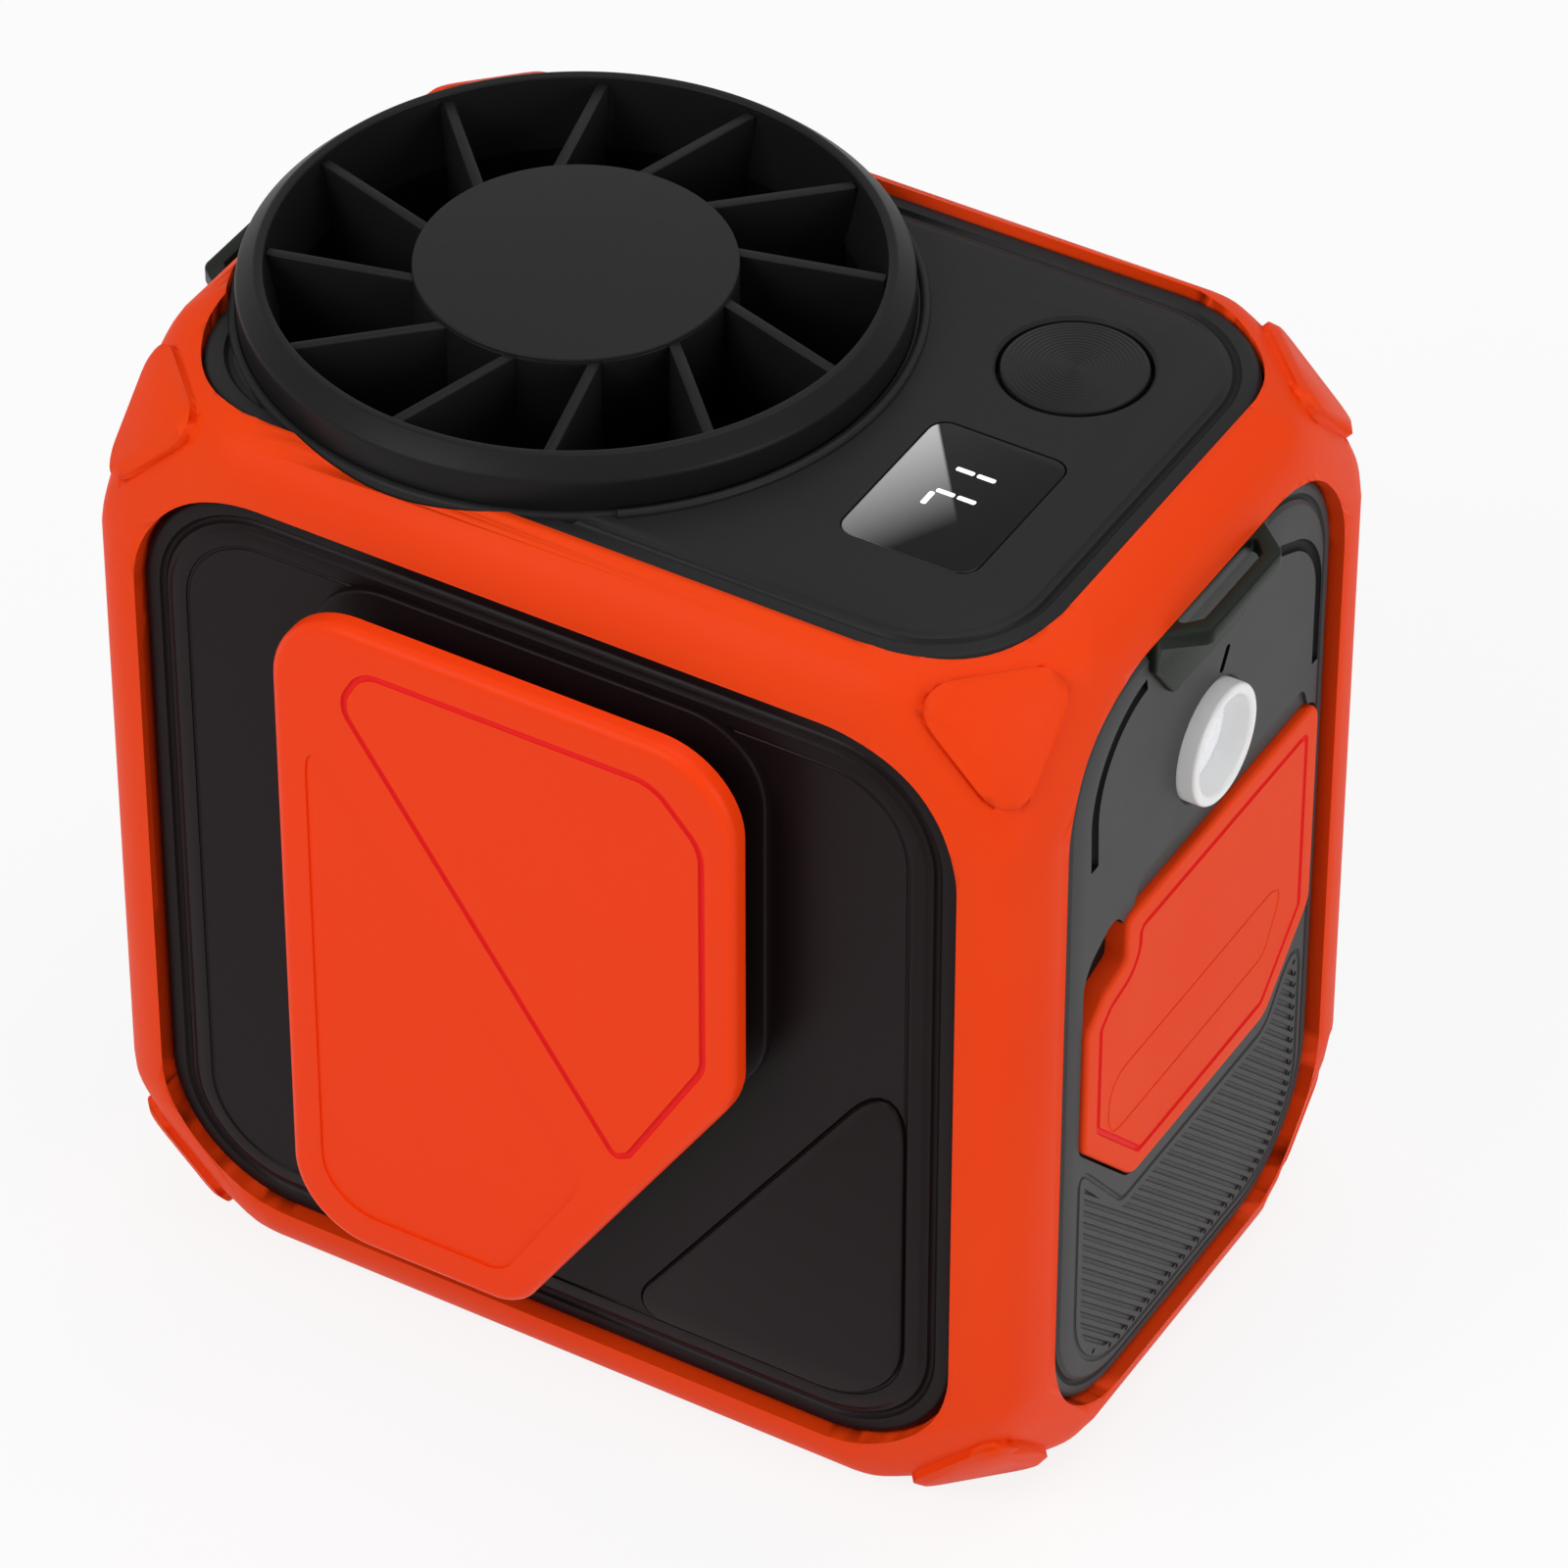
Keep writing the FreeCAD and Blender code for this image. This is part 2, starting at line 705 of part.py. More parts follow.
def intake_opening(gap, low, high):
    """Prism over the intake field, moved inwards by a gap, in face coordinates of the back."""
    middle_x = -(intake_left + intake_right) / 2
    middle_y = (intake_low + intake_high) / 2 - half_height
    half_x = (intake_right - intake_left) / 2 - gap
    half_y = (intake_high - intake_low) / 2 - gap
    return prism(rectangle(half_x, half_y, 5.0, middle_x, middle_y), low, high)


def lower_shell(shell):
    """Tub of the inner shell with the rails that hold the main board."""
    tub = shell.common(block(-body_width, body_width, -body_depth, body_depth, -1, shell_split))
    rails = []
    for sign in (-1, 1):
        y_wall = sign * (half_depth - shell_inset + 0.5)
        y_tip = sign * (main_board_length / 2 - 1.5)
        rail = block(main_board_x - 1.5, main_board_x + board_thickness + 1.5,
                     min(y_wall, y_tip), max(y_wall, y_tip), shell_inset - shell_wall / 2, main_board_high - 2)
        slot = block(main_board_x - 0.1, main_board_x + board_thickness + 0.1,
                     -main_board_length / 2 - 0.2, main_board_length / 2 + 0.2, main_board_low, body_height)
        rails.append(rail.cut(slot))
    return tub.multiFuse(rails).removeSplitter()


def upper_shell(shell):
    """Lid of the inner shell."""
    return shell.common(block(-body_width, body_width, -body_depth, body_depth, shell_split, lip_top))


def dust_screen():
    """Flat net in the shell's intake opening."""
    net = intake_opening(panel_gap, -cage_wall - screen_thickness, -cage_wall)
    middle_x = -(intake_left + intake_right) / 2
    middle_y = (intake_low + intake_high) / 2 - half_height
    columns = math.floor((intake_right - intake_left - 4) / screen_pitch)
    rows = math.floor((intake_high - intake_low - 4) / screen_pitch)
    holes = []
    for column in range(columns):
        for row in range(rows):
            x = middle_x + (column - (columns - 1) / 2) * screen_pitch
            y = middle_y + (row - (rows - 1) / 2) * screen_pitch
            half = screen_hole / 2
            holes.append(block(x - half, x + half, y - half, y + half, -2 * shell_inset, 0))
    return on_side(net.cut(Part.makeCompound(holes)), "back")


def revolve_profile(points, x=0.0):
    """Solid of revolution about the upright axis at x, from points (radius, level)."""
    wire = Part.makePolygon([Vector(x + r, 0, z) for r, z in points + points[:1]])
    return Part.Face(wire).revolve(Vector(x, 0, 0), Vector(0, 0, 1), 360)


def straight_vanes():
    """Guide vanes from the hub to the collar, each tangent to a small circle about the axis."""
    angle = math.degrees(math.asin(vane_sweep_radius / hub_radius))
    vanes = []
    for index in range(vane_count):
        vane = block(0, collar_lip_radius, vane_sweep_radius - vane_thickness / 2,
                     vane_sweep_radius + vane_thickness / 2, vane_bottom, vane_top)
        vane.rotate(Vector(0, 0, 0), Vector(0, 0, 1), 360 / vane_count * index - angle + 8)
        vanes.append(vane)
    fan = vanes[0].multiFuse(vanes[1:])
    room = revolve_profile([(hub_radius - hub_wall / 2, vane_bottom), (duct_throat - throat_fit, vane_bottom),
                            (duct_throat - throat_fit, duct_top), (duct_throat + 0.6, duct_top),
                            (throat_radius + 0.3, vane_top), (hub_radius - hub_wall / 2, vane_top)])
    fan = fan.common(room)
    fan.translate(Vector(fan_x, 0, 0))
    return fan


def outlet_grille():
    """Round outlet: bevelled collar, guide vanes, hub cup and bearing tube in one moulding."""
    seat = body_height - panel_recess
    collar = revolve_profile([(duct_throat, duct_top), (collar_lip_radius, duct_top),
                              (collar_lip_radius, seat), (collar_wall_radius, seat),
                              (collar_wall_radius, lip_top - collar_bevel_drop),
                              (collar_lip_radius + collar_lip_round, lip_top),
                              (throat_radius + collar_lip_round, lip_top),
                              (throat_radius, lip_top - collar_lip_round)], fan_x)
    cup = ring(hub_radius, hub_radius - hub_wall, plate_level, vane_top, fan_x)
    plate = ring(hub_radius, bearing_radius, plate_level, plate_level + motor_plate_thickness, fan_x)
    tube_low = impeller_floor_level + impeller_floor + 0.8
    tube = ring(tube_outer, bearing_radius + shaft_fit, tube_low, plate_level + motor_plate_thickness + 3, fan_x)
    return collar.multiFuse([cup, plate, tube, straight_vanes()]).removeSplitter()


def hub_cap():
    """Flat disc that closes the hub cup."""
    disc = cylinder(hub_radius, vane_top, vane_top + hub_cap_rise, fan_x)
    disc = disc.makeChamfer(hub_cap_rise / 2, rim_edges(disc, vane_top + hub_cap_rise))
    plug = cylinder(hub_radius - hub_wall - 0.05, vane_top - hub_cap_thickness, vane_top, fan_x)
    return disc.fuse(plug).removeSplitter()


def fan_duct():
    """Thin tube below the outlet with a flared inlet."""
    flare = duct_wall * 0.8
    return revolve_profile([(duct_throat, duct_top), (duct_radius, duct_top), (duct_radius, duct_bottom),
                            (duct_throat + flare, duct_bottom), (duct_throat, duct_bottom + 2 * flare)], fan_x)


def impeller():
    """Axial fan wheel: hub cup round the motor and twisted blades."""
    top = impeller_top
    low = impeller_floor_level
    hub = ring(impeller_hub_radius, rotor_outer, low, top, fan_x)
    floor = ring(impeller_hub_radius, shaft_radius, low, low + impeller_floor, fan_x)
    blades = []
    sections = []
    for radius, pitch in ((impeller_hub_radius - impeller_hub_wall / 2, blade_root_angle),
                          (blade_tip_radius + 1.0, blade_tip_angle)):
        half = blade_height / 2 / math.sin(math.radians(pitch)) * 0.92
        bulge = half * blade_camber
        thick = blade_thickness / 2
        upper = [(-half, thick / 2), (-half / 3, bulge + thick), (half / 3, bulge + thick), (half, thick / 2)]
        lower = [(half, -thick / 2), (half / 3, bulge - thick), (-half / 3, bulge - thick), (-half, -thick / 2)]
        wire = Part.makePolygon([Vector(x, y, 0) for x, y in upper + lower + upper[:1]])
        wire.rotate(Vector(0, 0, 0), Vector(0, 0, 1), pitch)
        wire.rotate(Vector(0, 0, 0), Vector(1, 0, 0), 90)
        wire.rotate(Vector(0, 0, 0), Vector(0, 0, 1), 90)
        wire.translate(Vector(radius, 0, (top + low + impeller_floor) / 2))
        sections.append(wire)
    blade = Part.makeLoft(sections, True, True)
    keep = ring(blade_tip_radius, impeller_hub_radius - impeller_hub_wall / 2, low, top)
    blade = blade.common(keep)
    for index in range(blade_count):
        turned = blade.copy()
        turned.rotate(Vector(0, 0, 0), Vector(0, 0, 1), 360 / blade_count * index)
        turned.translate(Vector(fan_x, 0, 0))
        blades.append(turned)
    return hub.multiFuse([floor] + blades).removeSplitter()


def motor_shaft():
    """Steel shaft fixed in the wheel's floor and running in both bearings."""
    return cylinder(shaft_radius, impeller_floor_level, plate_level + motor_plate_thickness + 2.5, fan_x)


def rotor_ring():
    """Steel ring with the magnets, inside the wheel's hub."""
    low = impeller_floor_level + impeller_floor
    return ring(rotor_outer, rotor_inner, low, low + stator_height + 2, fan_x)


def motor_stator():
    """Laminated stator with slots, pressed on the bearing tube."""
    low = impeller_floor_level + impeller_floor + 1.6
    stator = ring(stator_outer, tube_outer, low, low + stator_height, fan_x)
    slots = []
    for index in range(stator_slots):
        slot = block(tube_outer + 1.8, stator_outer - 1.0, -1.3, 1.3, low - 1, low + stator_height + 1)
        mouth = block(stator_outer - 2, stator_outer + 1, -0.5, 0.5, low - 1, low + stator_height + 1)
        slot = slot.fuse(mouth)
        slot.rotate(Vector(0, 0, 0), Vector(0, 0, 1), 360 / stator_slots * index)
        slot.translate(Vector(fan_x, 0, 0))
        slots.append(slot)
    return stator.cut(Part.makeCompound(slots))


def motor_bearings():
    """Two bearings at the ends of the bearing tube."""
    low = impeller_floor_level + impeller_floor + 0.8
    high = plate_level + motor_plate_thickness + 3
    bearings = [ring(bearing_radius, shaft_radius + shaft_fit, level, level + bearing_length, fan_x)
                for level in (low, high - bearing_length)]
    return Part.makeCompound(bearings)


def clip_base():
    """Flat plate on the front panel with the two lugs that carry the clip's pin."""
    outline = inset(clip_outline(), clip_base_inset)
    plate = prism(outline, field_level, 0)
    parts = []
    for sign in (-1, 1):
        x_in = sign * clip_lug_x
        x_out = sign * (clip_lug_x + clip_lug_width)
        parts.append(knuckle(min(x_in, x_out), max(x_in, x_out), -0.1))
    plate = plate.multiFuse(parts)
    plate = plate.cut(pivot_rod(clip_pin_radius, clip_lug_x + clip_lug_width + 1))
    return on_side(plate.removeSplitter(), "front")


def knuckle(x0, x1, root):
    """Rounded ear about the clip's pivot, joined down or up to a root level."""
    barrel = Part.makeCylinder(clip_knuckle_radius, x1 - x0, Vector(x0, pivot_z, pivot_out), Vector(1, 0, 0))
    low = min(root, pivot_out)
    high = max(root, pivot_out)
    web = block(x0, x1, pivot_z - clip_knuckle_radius, pivot_z + clip_knuckle_radius, low, high)
    return barrel.fuse(web)


def pivot_rod(radius, half_length):
    """Rod along the clip's pivot, in face coordinates of the front."""
    return Part.makeCylinder(radius, 2 * half_length, Vector(-half_length, pivot_z, pivot_out), Vector(1, 0, 0))


def clip_pin():
    """Steel pin through the lugs and the clip's knuckles."""
    return on_side(pivot_rod(clip_pin_radius, clip_lug_x + clip_lug_width), "front")


def clip_spring():
    """Torsion spring wound round the pin, one leg on the base and one on the clip."""
    rise = 2 * (spring_wire + 0.15) * spring_turns
    count = round(spring_turns * spring_sides)
    points = [Vector(spring_coil_radius, -spring_leg, 0)]
    for index in range(count + 1):
        angle = math.tau * spring_turns * index / count
        points.append(Vector(spring_coil_radius * math.cos(angle), spring_coil_radius * math.sin(angle),
                             rise * index / count))
    points.append(Vector(-spring_coil_radius, -spring_leg, rise))
    corners = [Vector(spring_coil_radius + spring_wire / 2 * math.cos(math.pi / 3 * i), -spring_leg,
                      spring_wire / 2 * math.sin(math.pi / 3 * i)) for i in range(6)]
    profile = Part.makePolygon(corners + corners[:1])
    coil = Part.makePolygon(points).makePipeShell([profile], True, False, 1)
    coil.translate(Vector(0, 0, -rise / 2))
    coil.rotate(Vector(0, 0, 0), Vector(0, 1, 0), 90)
    coil.translate(Vector(0, pivot_z, pivot_out))
    return on_side(coil, "front")


def belt_clip():
    """Clip plate with a rounded rim, an outlined panel, knuckles and the belt lip."""
    outline = clip_outline()
    plate = prism(outline, belt_gap, clip_face)
    plate = plate.makeChamfer(clip_edge_bevel, rim_edges(plate, clip_face))
    upper = [(-16.9, 30.5, 3.0), (11.6, -11.3, 1.5), (13.1, -10.5, 1.2), (21.1, 3.5, 3.5),
             (21.1, 29.5, 4.0), (16.1, 35.0, 4.0), (-14.4, 35.0, 3.0)]
    lower = [(-20.9, 26.0, 1.6), (-20.9, -31.8, 6.0), (-0.9, -31.8, 3.0), (8.3, -16.3, 3.0)]
    plate = plate.cut(line_groove(upper, clip_face))
    plate = plate.cut(prism(lower, clip_face - 0.25, clip_face + 1))
    ears = []
    for sign in (-1, 1):
        outer = sign * (clip_lug_x - clip_knuckle_gap)
        inner = sign * (clip_lug_x - clip_knuckle_gap - clip_knuckle_width)
        ears.append(knuckle(min(inner, outer), max(inner, outer), belt_gap + 0.2))
    lip_x = (clip_left + clip_cut_foot) / 2
    lip = block(lip_x - belt_lip_length / 2, lip_x + belt_lip_length / 2, clip_bottom + 1.2,
                clip_bottom + 1.2 + belt_lip_height, belt_lip_gap, belt_gap + 0.2)
    plate = plate.multiFuse(ears + [lip])
    plate = plate.cut(pivot_rod(clip_pin_radius + clip_pin_fit, clip_lug_x))
    return on_side(plate.removeSplitter(), "front")


def power_button():
    """Round key with its stem."""
    top = field_level
    cap = cylinder(button_radius, top - button_thickness, top, button_x, button_y)
    cap = cap.makeChamfer(button_bevel, rim_edges(cap, top))
    stem_low = display_board_top + switch_height + 0.7 - body_height
    stem = cylinder(button_stem_radius, stem_low, top - button_thickness, button_x, button_y)
    return on_side(cap.fuse(stem), "top")


def switch_plunger():
    """Moving core of the key switch, under the button's stem."""
    low = display_board_top + switch_height - 1.2
    return cylinder(plunger_radius, low, display_board_top + switch_height + 0.7, button_x, button_y)


def button_switch():
    """Key switch body on the display board."""
    half = switch_size / 2
    body = block(button_x - half, button_x + half, button_y - half, button_y + half,
                 display_board_top, display_board_top + switch_height)
    well = cylinder(plunger_radius + 0.06, display_board_top + switch_height - 1.2 - button_stroke - 0.1,
                    body_height, button_x, button_y)
    return body.cut(well)


def display_window():
    """Glass over the display."""
    glass = prism(display_outline(0), field_level - display_glass, field_level)
    return on_side(glass, "top")


def display_module():
    """Number display between its board and the glass."""
    low = display_board_top - body_height
    return on_side(prism(display_outline(display_rim), low, field_level - display_glass), "top")


def display_board():
    """Board under the top that carries the display and the key switch."""
    right = display_board_left + display_board_width
    half = display_board_length / 2
    board = block(display_board_left, right, -half, half, display_board_top - board_thickness, display_board_top)
    for x, y in post_places():
        board = board.cut(cylinder(board_screw_radius + screw_clearance, 0, body_height, x, y))
    return board.cut(cylinder(duct_radius + 0.5, 0, body_height, fan_x))


def board_posts():
    """Posts that hang from the shell's top and carry the display board."""
    posts = []
    for x, y in post_places():
        posts.append(ring(board_post_radius, board_screw_radius, display_board_top,
                          duct_top - shell_wall / 2, x, y))
    return posts


def post_places():
    """Where the display board is screwed to the shell."""
    right = display_board_left + display_board_width
    half = display_board_length / 2
    step = board_post_radius + 1
    return [(right - step, -half + step), (right - step, half - step)]


def board_screws():
    """Two small screws that hold the display board to its posts."""
    screws = []
    for x, y in post_places():
        low = display_board_top - board_thickness
        head = cylinder(2 * board_screw_radius, low - board_screw_radius, low, x, y)
        shank = cylinder(board_screw_radius, low - board_screw_radius, low + board_screw_length, x, y)
        screws.append(head.fuse(shank))
    return Part.makeCompound(screws)


def main_board():
    """Upright charging and motor board with a few tall components."""
    half = main_board_length / 2
    board = block(main_board_x, main_board_x + board_thickness, -half, half, main_board_low, main_board_high)
    chip_low = main_board_low + 17
    coil_low = main_board_low + 23
    chip = block(main_board_x - 1.2, main_board_x, -6, 2, chip_low, chip_low + 8)
    coil = block(main_board_x - 3.0, main_board_x, 8, 16, coil_low, coil_low + 8)
    return board.multiFuse([chip, coil])


def usb_socket(y, width, height, depth, wall):
    """Metal socket shell with its tongue, mouth at the shell's outer face."""
    z = half_height + usb_z
    mouth = shell_face_x
    back = mouth - depth
    body = block(back, mouth, y - width / 2, y + width / 2, z - height / 2, z + height / 2)
    hollow = block(back + 1, mouth + 1, y - width / 2 + wall, y + width / 2 - wall,
                   z - height / 2 + wall, z + height / 2 - wall)
    tongue_half = height * 0.16
    tongue = block(back, mouth - tongue_recess, y - width * 0.38, y + width * 0.38,
                   z - tongue_half, z + tongue_half)
    foot = block(main_board_x + board_thickness, back + 0.01, y - width / 3, y + width / 3,
                 z - height / 3, z + height / 3)
    return body.cut(hollow).multiFuse([tongue, foot]).removeSplitter()


def bay_block(gap, depth):
    """Outer block of the port bay, grown by a gap, in face coordinates of the right side."""
    half_y = (usb_a_y - usb_c_y) / 2 + usb_a_width / 2 + bay_wall + gap
    middle_y = (usb_a_y + usb_c_y) / 2
    half_z = usb_a_height / 2 + bay_wall + gap
    return prism(rectangle(half_y, half_z, 1.5, middle_y, usb_z), -cage_wall - depth, -cage_wall)


def port_bay():
    """Insert in the shell's side wall that holds both sockets."""
    bay = bay_block(0, 5.0)
    for y, width, height in ((usb_a_y, usb_a_width, usb_a_height), (usb_c_y, usb_c_width, usb_c_height)):
        bay = bay.cut(block(y - width / 2 - 0.05, y + width / 2 + 0.05, usb_z - height / 2 - 0.05,
                            usb_z + height / 2 + 0.05, -10 * cage_wall, 0))
    return on_side(bay, "right")


def port_cover():
    """Rubber flap with an inner line, a recessed label band, two plugs and its hinge barrel."""
    low = -cage_wall + flap_floor_gap
    high = field_level + flap_rise
    flap = prism(flap_outline(), low, high)
    flap = flap.makeChamfer(0.35, rim_edges(flap, high))
    flap = flap.cut(line_groove(inset(flap_outline(), flap_line_inset), high))
    band = [(flap_left + 4.5, label_low, 2.5), (flap_right - 9.5, label_low, 2.0),
            (flap_right - 5.5, label_high, 2.0), (flap_left + 4.5, label_high, 3.0)]
    flap = flap.cut(prism(band, high - 0.25, high + 1))
    for y, width, height, wall in ((usb_a_y, usb_a_width, usb_a_height, usb_a_wall),
                                   (usb_c_y, usb_c_width, usb_c_height, usb_c_wall)):
        half_y = width / 2 - wall - plug_gap
        half_z = height / 2 - wall - plug_gap
        plug = block(y - half_y, y + half_y, usb_z - half_z, usb_z + half_z,
                     -cage_wall - plug_depth, low + 0.1)
        flap = flap.fuse(plug)
    return on_side(flap.removeSplitter(), "right")


def torch_ring():
    """Raised ring round the torch lens."""
    shape = ring(torch_ring_radius, torch_ring_radius - torch_ring_wall, -cage_wall,
                 torch_ring_rise, torch_y, torch_z)
    return on_side(shape, "right")


def torch_lens():
    """Clear disc inside the ring."""
    radius = torch_ring_radius - torch_ring_wall - torch_fit
    lens = cylinder(radius, -cage_wall, -cage_wall + torch_lens_thickness, torch_y, torch_z)
    lens = lens.makeChamfer(torch_lens_bevel, rim_edges(lens, -cage_wall + torch_lens_thickness))
    return on_side(lens, "right")


def torch_reflector():
    """Cone behind the lens, in the shell's wall."""
    radius = torch_ring_radius - torch_ring_wall - torch_fit
    outer = cylinder(radius, -cage_wall - torch_depth, -cage_wall, torch_y, torch_z)
    cone = Part.makeCone(light_chip_size / 2, radius - 0.5, torch_depth,
                         Vector(torch_y, torch_z, -cage_wall - torch_depth), Vector(0, 0, 1))
    return on_side(outer.cut(cone), "right")


def torch_light():
    """Small board with the light chip at the back of the reflector."""
    half = light_board_size / 2
    chip = light_chip_size / 2 * 0.7
    level = -cage_wall - torch_depth
    board = block(torch_y - half, torch_y + half, torch_z - half, torch_z + half,
                  level - board_thickness, level)
    lamp = block(torch_y - chip, torch_y + chip, torch_z - chip, torch_z + chip,
                 level, level + light_chip_height)
    return on_side(board.fuse(lamp), "right")


def strap_bracket(side):
    """Flat loop that stands out under the window's upper edge, on a plate fixed to the panel."""
    sign = 1 if side == "right" else -1
    z = half_height + strap_z
    root = half_width - panel_recess + field_step
    tip = half_width + strap_reach - panel_recess
    outer = [(root - 0.2, -strap_root_half, 0.0), (tip, -strap_bar_half, 1.2),
             (tip, strap_bar_half, 1.2), (root - 0.2, strap_root_half, 0.0)]
    inner = [(root + strap_plate_thickness, -strap_root_half + 2.6, 0.6),
             (tip - strap_bar_width, -strap_bar_half + 1.2, 0.6),
             (tip - strap_bar_width, strap_bar_half - 1.2, 0.6),
             (root + strap_plate_thickness, strap_root_half - 2.6, 0.6)]
    loop = prism(outer, z, z + strap_height).cut(prism(inner, z - 1, z + strap_height + 1))
    plate = [(-strap_root_half, strap_z + strap_height, 0.5), (-strap_root_half, strap_z - 2, 1.0),
             (-strap_bar_half, strap_z - strap_plate_drop, 1.0),
             (strap_bar_half, strap_z - strap_plate_drop, 1.0),
             (strap_root_half, strap_z - 2, 1.0), (strap_root_half, strap_z + strap_height, 0.5)]
    seat = on_side(prism(plate, field_level, field_level + strap_plate_thickness), "right")
    bracket = loop.fuse(seat).removeSplitter()
    if sign < 0:
        bracket = bracket.mirror(Vector(0, 0, 0), Vector(1, 0, 0))
    return bracket


def cell_axes():
    """Y positions of the lying cells."""
    return [(index - (cell_count - 1) / 2) * cell_spacing for index in range(cell_count)]


def lying_cylinder(radius, x0, x1, y):
    """Cylinder along X at the cells' height."""
    return Part.makeCylinder(radius, x1 - x0, Vector(x0, y, cell_z), Vector(1, 0, 0))


def battery_cells():
    """Round cells that lie side by side on the shell's floor."""
    cells = []
    for y in cell_axes():
        body = lying_cylinder(cell_radius, cell_left, cell_left + cell_length - 0.8, y)
        nub = lying_cylinder(cell_radius * 0.35, cell_left + cell_length - 0.8, cell_left + cell_length, y)
        cells.append(body.fuse(nub))
    return Part.makeCompound(cells)


def battery_holder():
    """Cradle under the cells with an end wall at each side."""
    half = cell_axes()[-1] + cell_radius + 0.4
    low = shell_inset
    left = cell_left - tab_thickness - holder_end
    right = cell_left + cell_length + tab_thickness + holder_end
    cradle = block(left, right, -half, half, low, low + holder_height)
    for y in cell_axes():
        cradle = cradle.cut(lying_cylinder(cell_radius + cell_fit, cell_left - tab_thickness,
                                           cell_left + cell_length + tab_thickness, y))
    span = cell_axes()[-1] + cell_radius * 0.4 + cell_fit
    for x in (cell_left - tab_thickness, cell_left + cell_length):
        cradle = cradle.cut(block(x, x + tab_thickness, -span, span, cell_z - tab_half - cell_fit, cell_z + cell_radius))
    for x, y in base_screw_places():
        cradle = cradle.cut(cylinder(lid_boss_radius + cell_fit, 0, shell_inset + holder_floor, x, y))
    return cradle.common(faceted_block(shell_inset + cell_fit, False))


def cell_tabs():
    """Nickel strips across both ends of the cells."""
    half = cell_axes()[-1] + cell_radius * 0.4
    strips = []
    for x in (cell_left - tab_thickness, cell_left + cell_length):
        strips.append(block(x, x + tab_thickness, -half, half, cell_z - tab_half, cell_z + tab_half))
    return Part.makeCompound(strips)


def build():
    """Make every sub-part and write it."""
    save(bumper_cage(), "bumper_cage")
    save(top_panel(), "top_panel")
    save(front_panel(), "front_panel")
    save(back_panel(), "back_panel")
    save(right_panel(), "right_panel")
    save(left_panel(), "left_panel")
    save(bottom_panel(), "bottom_panel")
    save(base_screws(), "base_screws")
    shell = shell_body()
    save(lower_shell(shell), "lower_shell")
    save(upper_shell(shell).multiFuse(board_posts()), "upper_shell")
    save(lid_screws(), "lid_screws")
    save(dust_screen(), "dust_screen")
    save(outlet_grille(), "outlet_grille")
    save(hub_cap(), "hub_cap")
    save(fan_duct(), "fan_duct")
    save(impeller(), "impeller")
    save(motor_shaft(), "motor_shaft")
    save(rotor_ring(), "rotor_ring")
    save(motor_stator(), "motor_stator")
    save(motor_bearings(), "motor_bearings")
    save(clip_base(), "clip_base")
    save(clip_pin(), "clip_pin")
    save(clip_spring(), "clip_spring")
    save(belt_clip(), "belt_clip")
    save(power_button(), "power_button")
    save(switch_plunger(), "switch_plunger")
    save(button_switch(), "button_switch")
    save(display_window(), "display_window")
    save(display_module(), "display_module")
    save(display_board(), "display_board")
    save(board_screws(), "board_screws")
    save(main_board(), "main_board")
    save(usb_socket(usb_a_y, usb_a_width, usb_a_height, usb_a_depth, usb_a_wall), "usb_a_socket")
    save(usb_socket(usb_c_y, usb_c_width, usb_c_height, usb_c_depth, usb_c_wall), "usb_c_socket")
    save(port_bay(), "port_bay")
    save(port_cover(), "port_cover")
    save(torch_ring(), "torch_ring")
    save(torch_lens(), "torch_lens")
    save(torch_reflector(), "torch_reflector")
    save(torch_light(), "torch_light")
    save(strap_bracket("right"), "strap_bracket_right")
    save(strap_bracket("left"), "strap_bracket_left")
    save(battery_cells(), "battery_cells")
    save(battery_holder(), "battery_holder")
    save(cell_tabs(), "cell_tabs")


build()
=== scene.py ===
import math

import bmesh
import bpy
from bpy.props import FloatProperty, FloatVectorProperty, PointerProperty
from mathutils import Matrix, Vector


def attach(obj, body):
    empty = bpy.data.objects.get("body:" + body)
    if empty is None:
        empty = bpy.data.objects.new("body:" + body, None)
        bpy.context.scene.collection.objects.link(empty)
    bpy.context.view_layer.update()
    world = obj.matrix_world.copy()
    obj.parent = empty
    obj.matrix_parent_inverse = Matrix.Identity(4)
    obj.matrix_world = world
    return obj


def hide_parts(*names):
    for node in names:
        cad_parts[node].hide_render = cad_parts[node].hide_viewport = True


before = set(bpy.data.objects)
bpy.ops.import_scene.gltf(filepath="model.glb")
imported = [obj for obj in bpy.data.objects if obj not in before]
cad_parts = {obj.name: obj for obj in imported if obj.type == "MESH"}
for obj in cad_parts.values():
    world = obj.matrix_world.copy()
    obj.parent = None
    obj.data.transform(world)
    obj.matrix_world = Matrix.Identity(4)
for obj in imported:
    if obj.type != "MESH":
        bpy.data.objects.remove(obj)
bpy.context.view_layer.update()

bl_info = {
    "name": "Belt fan",
    "version": (1, 0, 0),
    "blender": (4, 5, 0),
    "location": "3D View > Sidebar > Belt fan",
    "description": "Rubber-caged belt fan with its outlet, clip, flap, torch and display",
    "category": "Add Mesh",
}

# Shapes are drawn in millimetres and become metres when they are set in place.
MM = 0.001

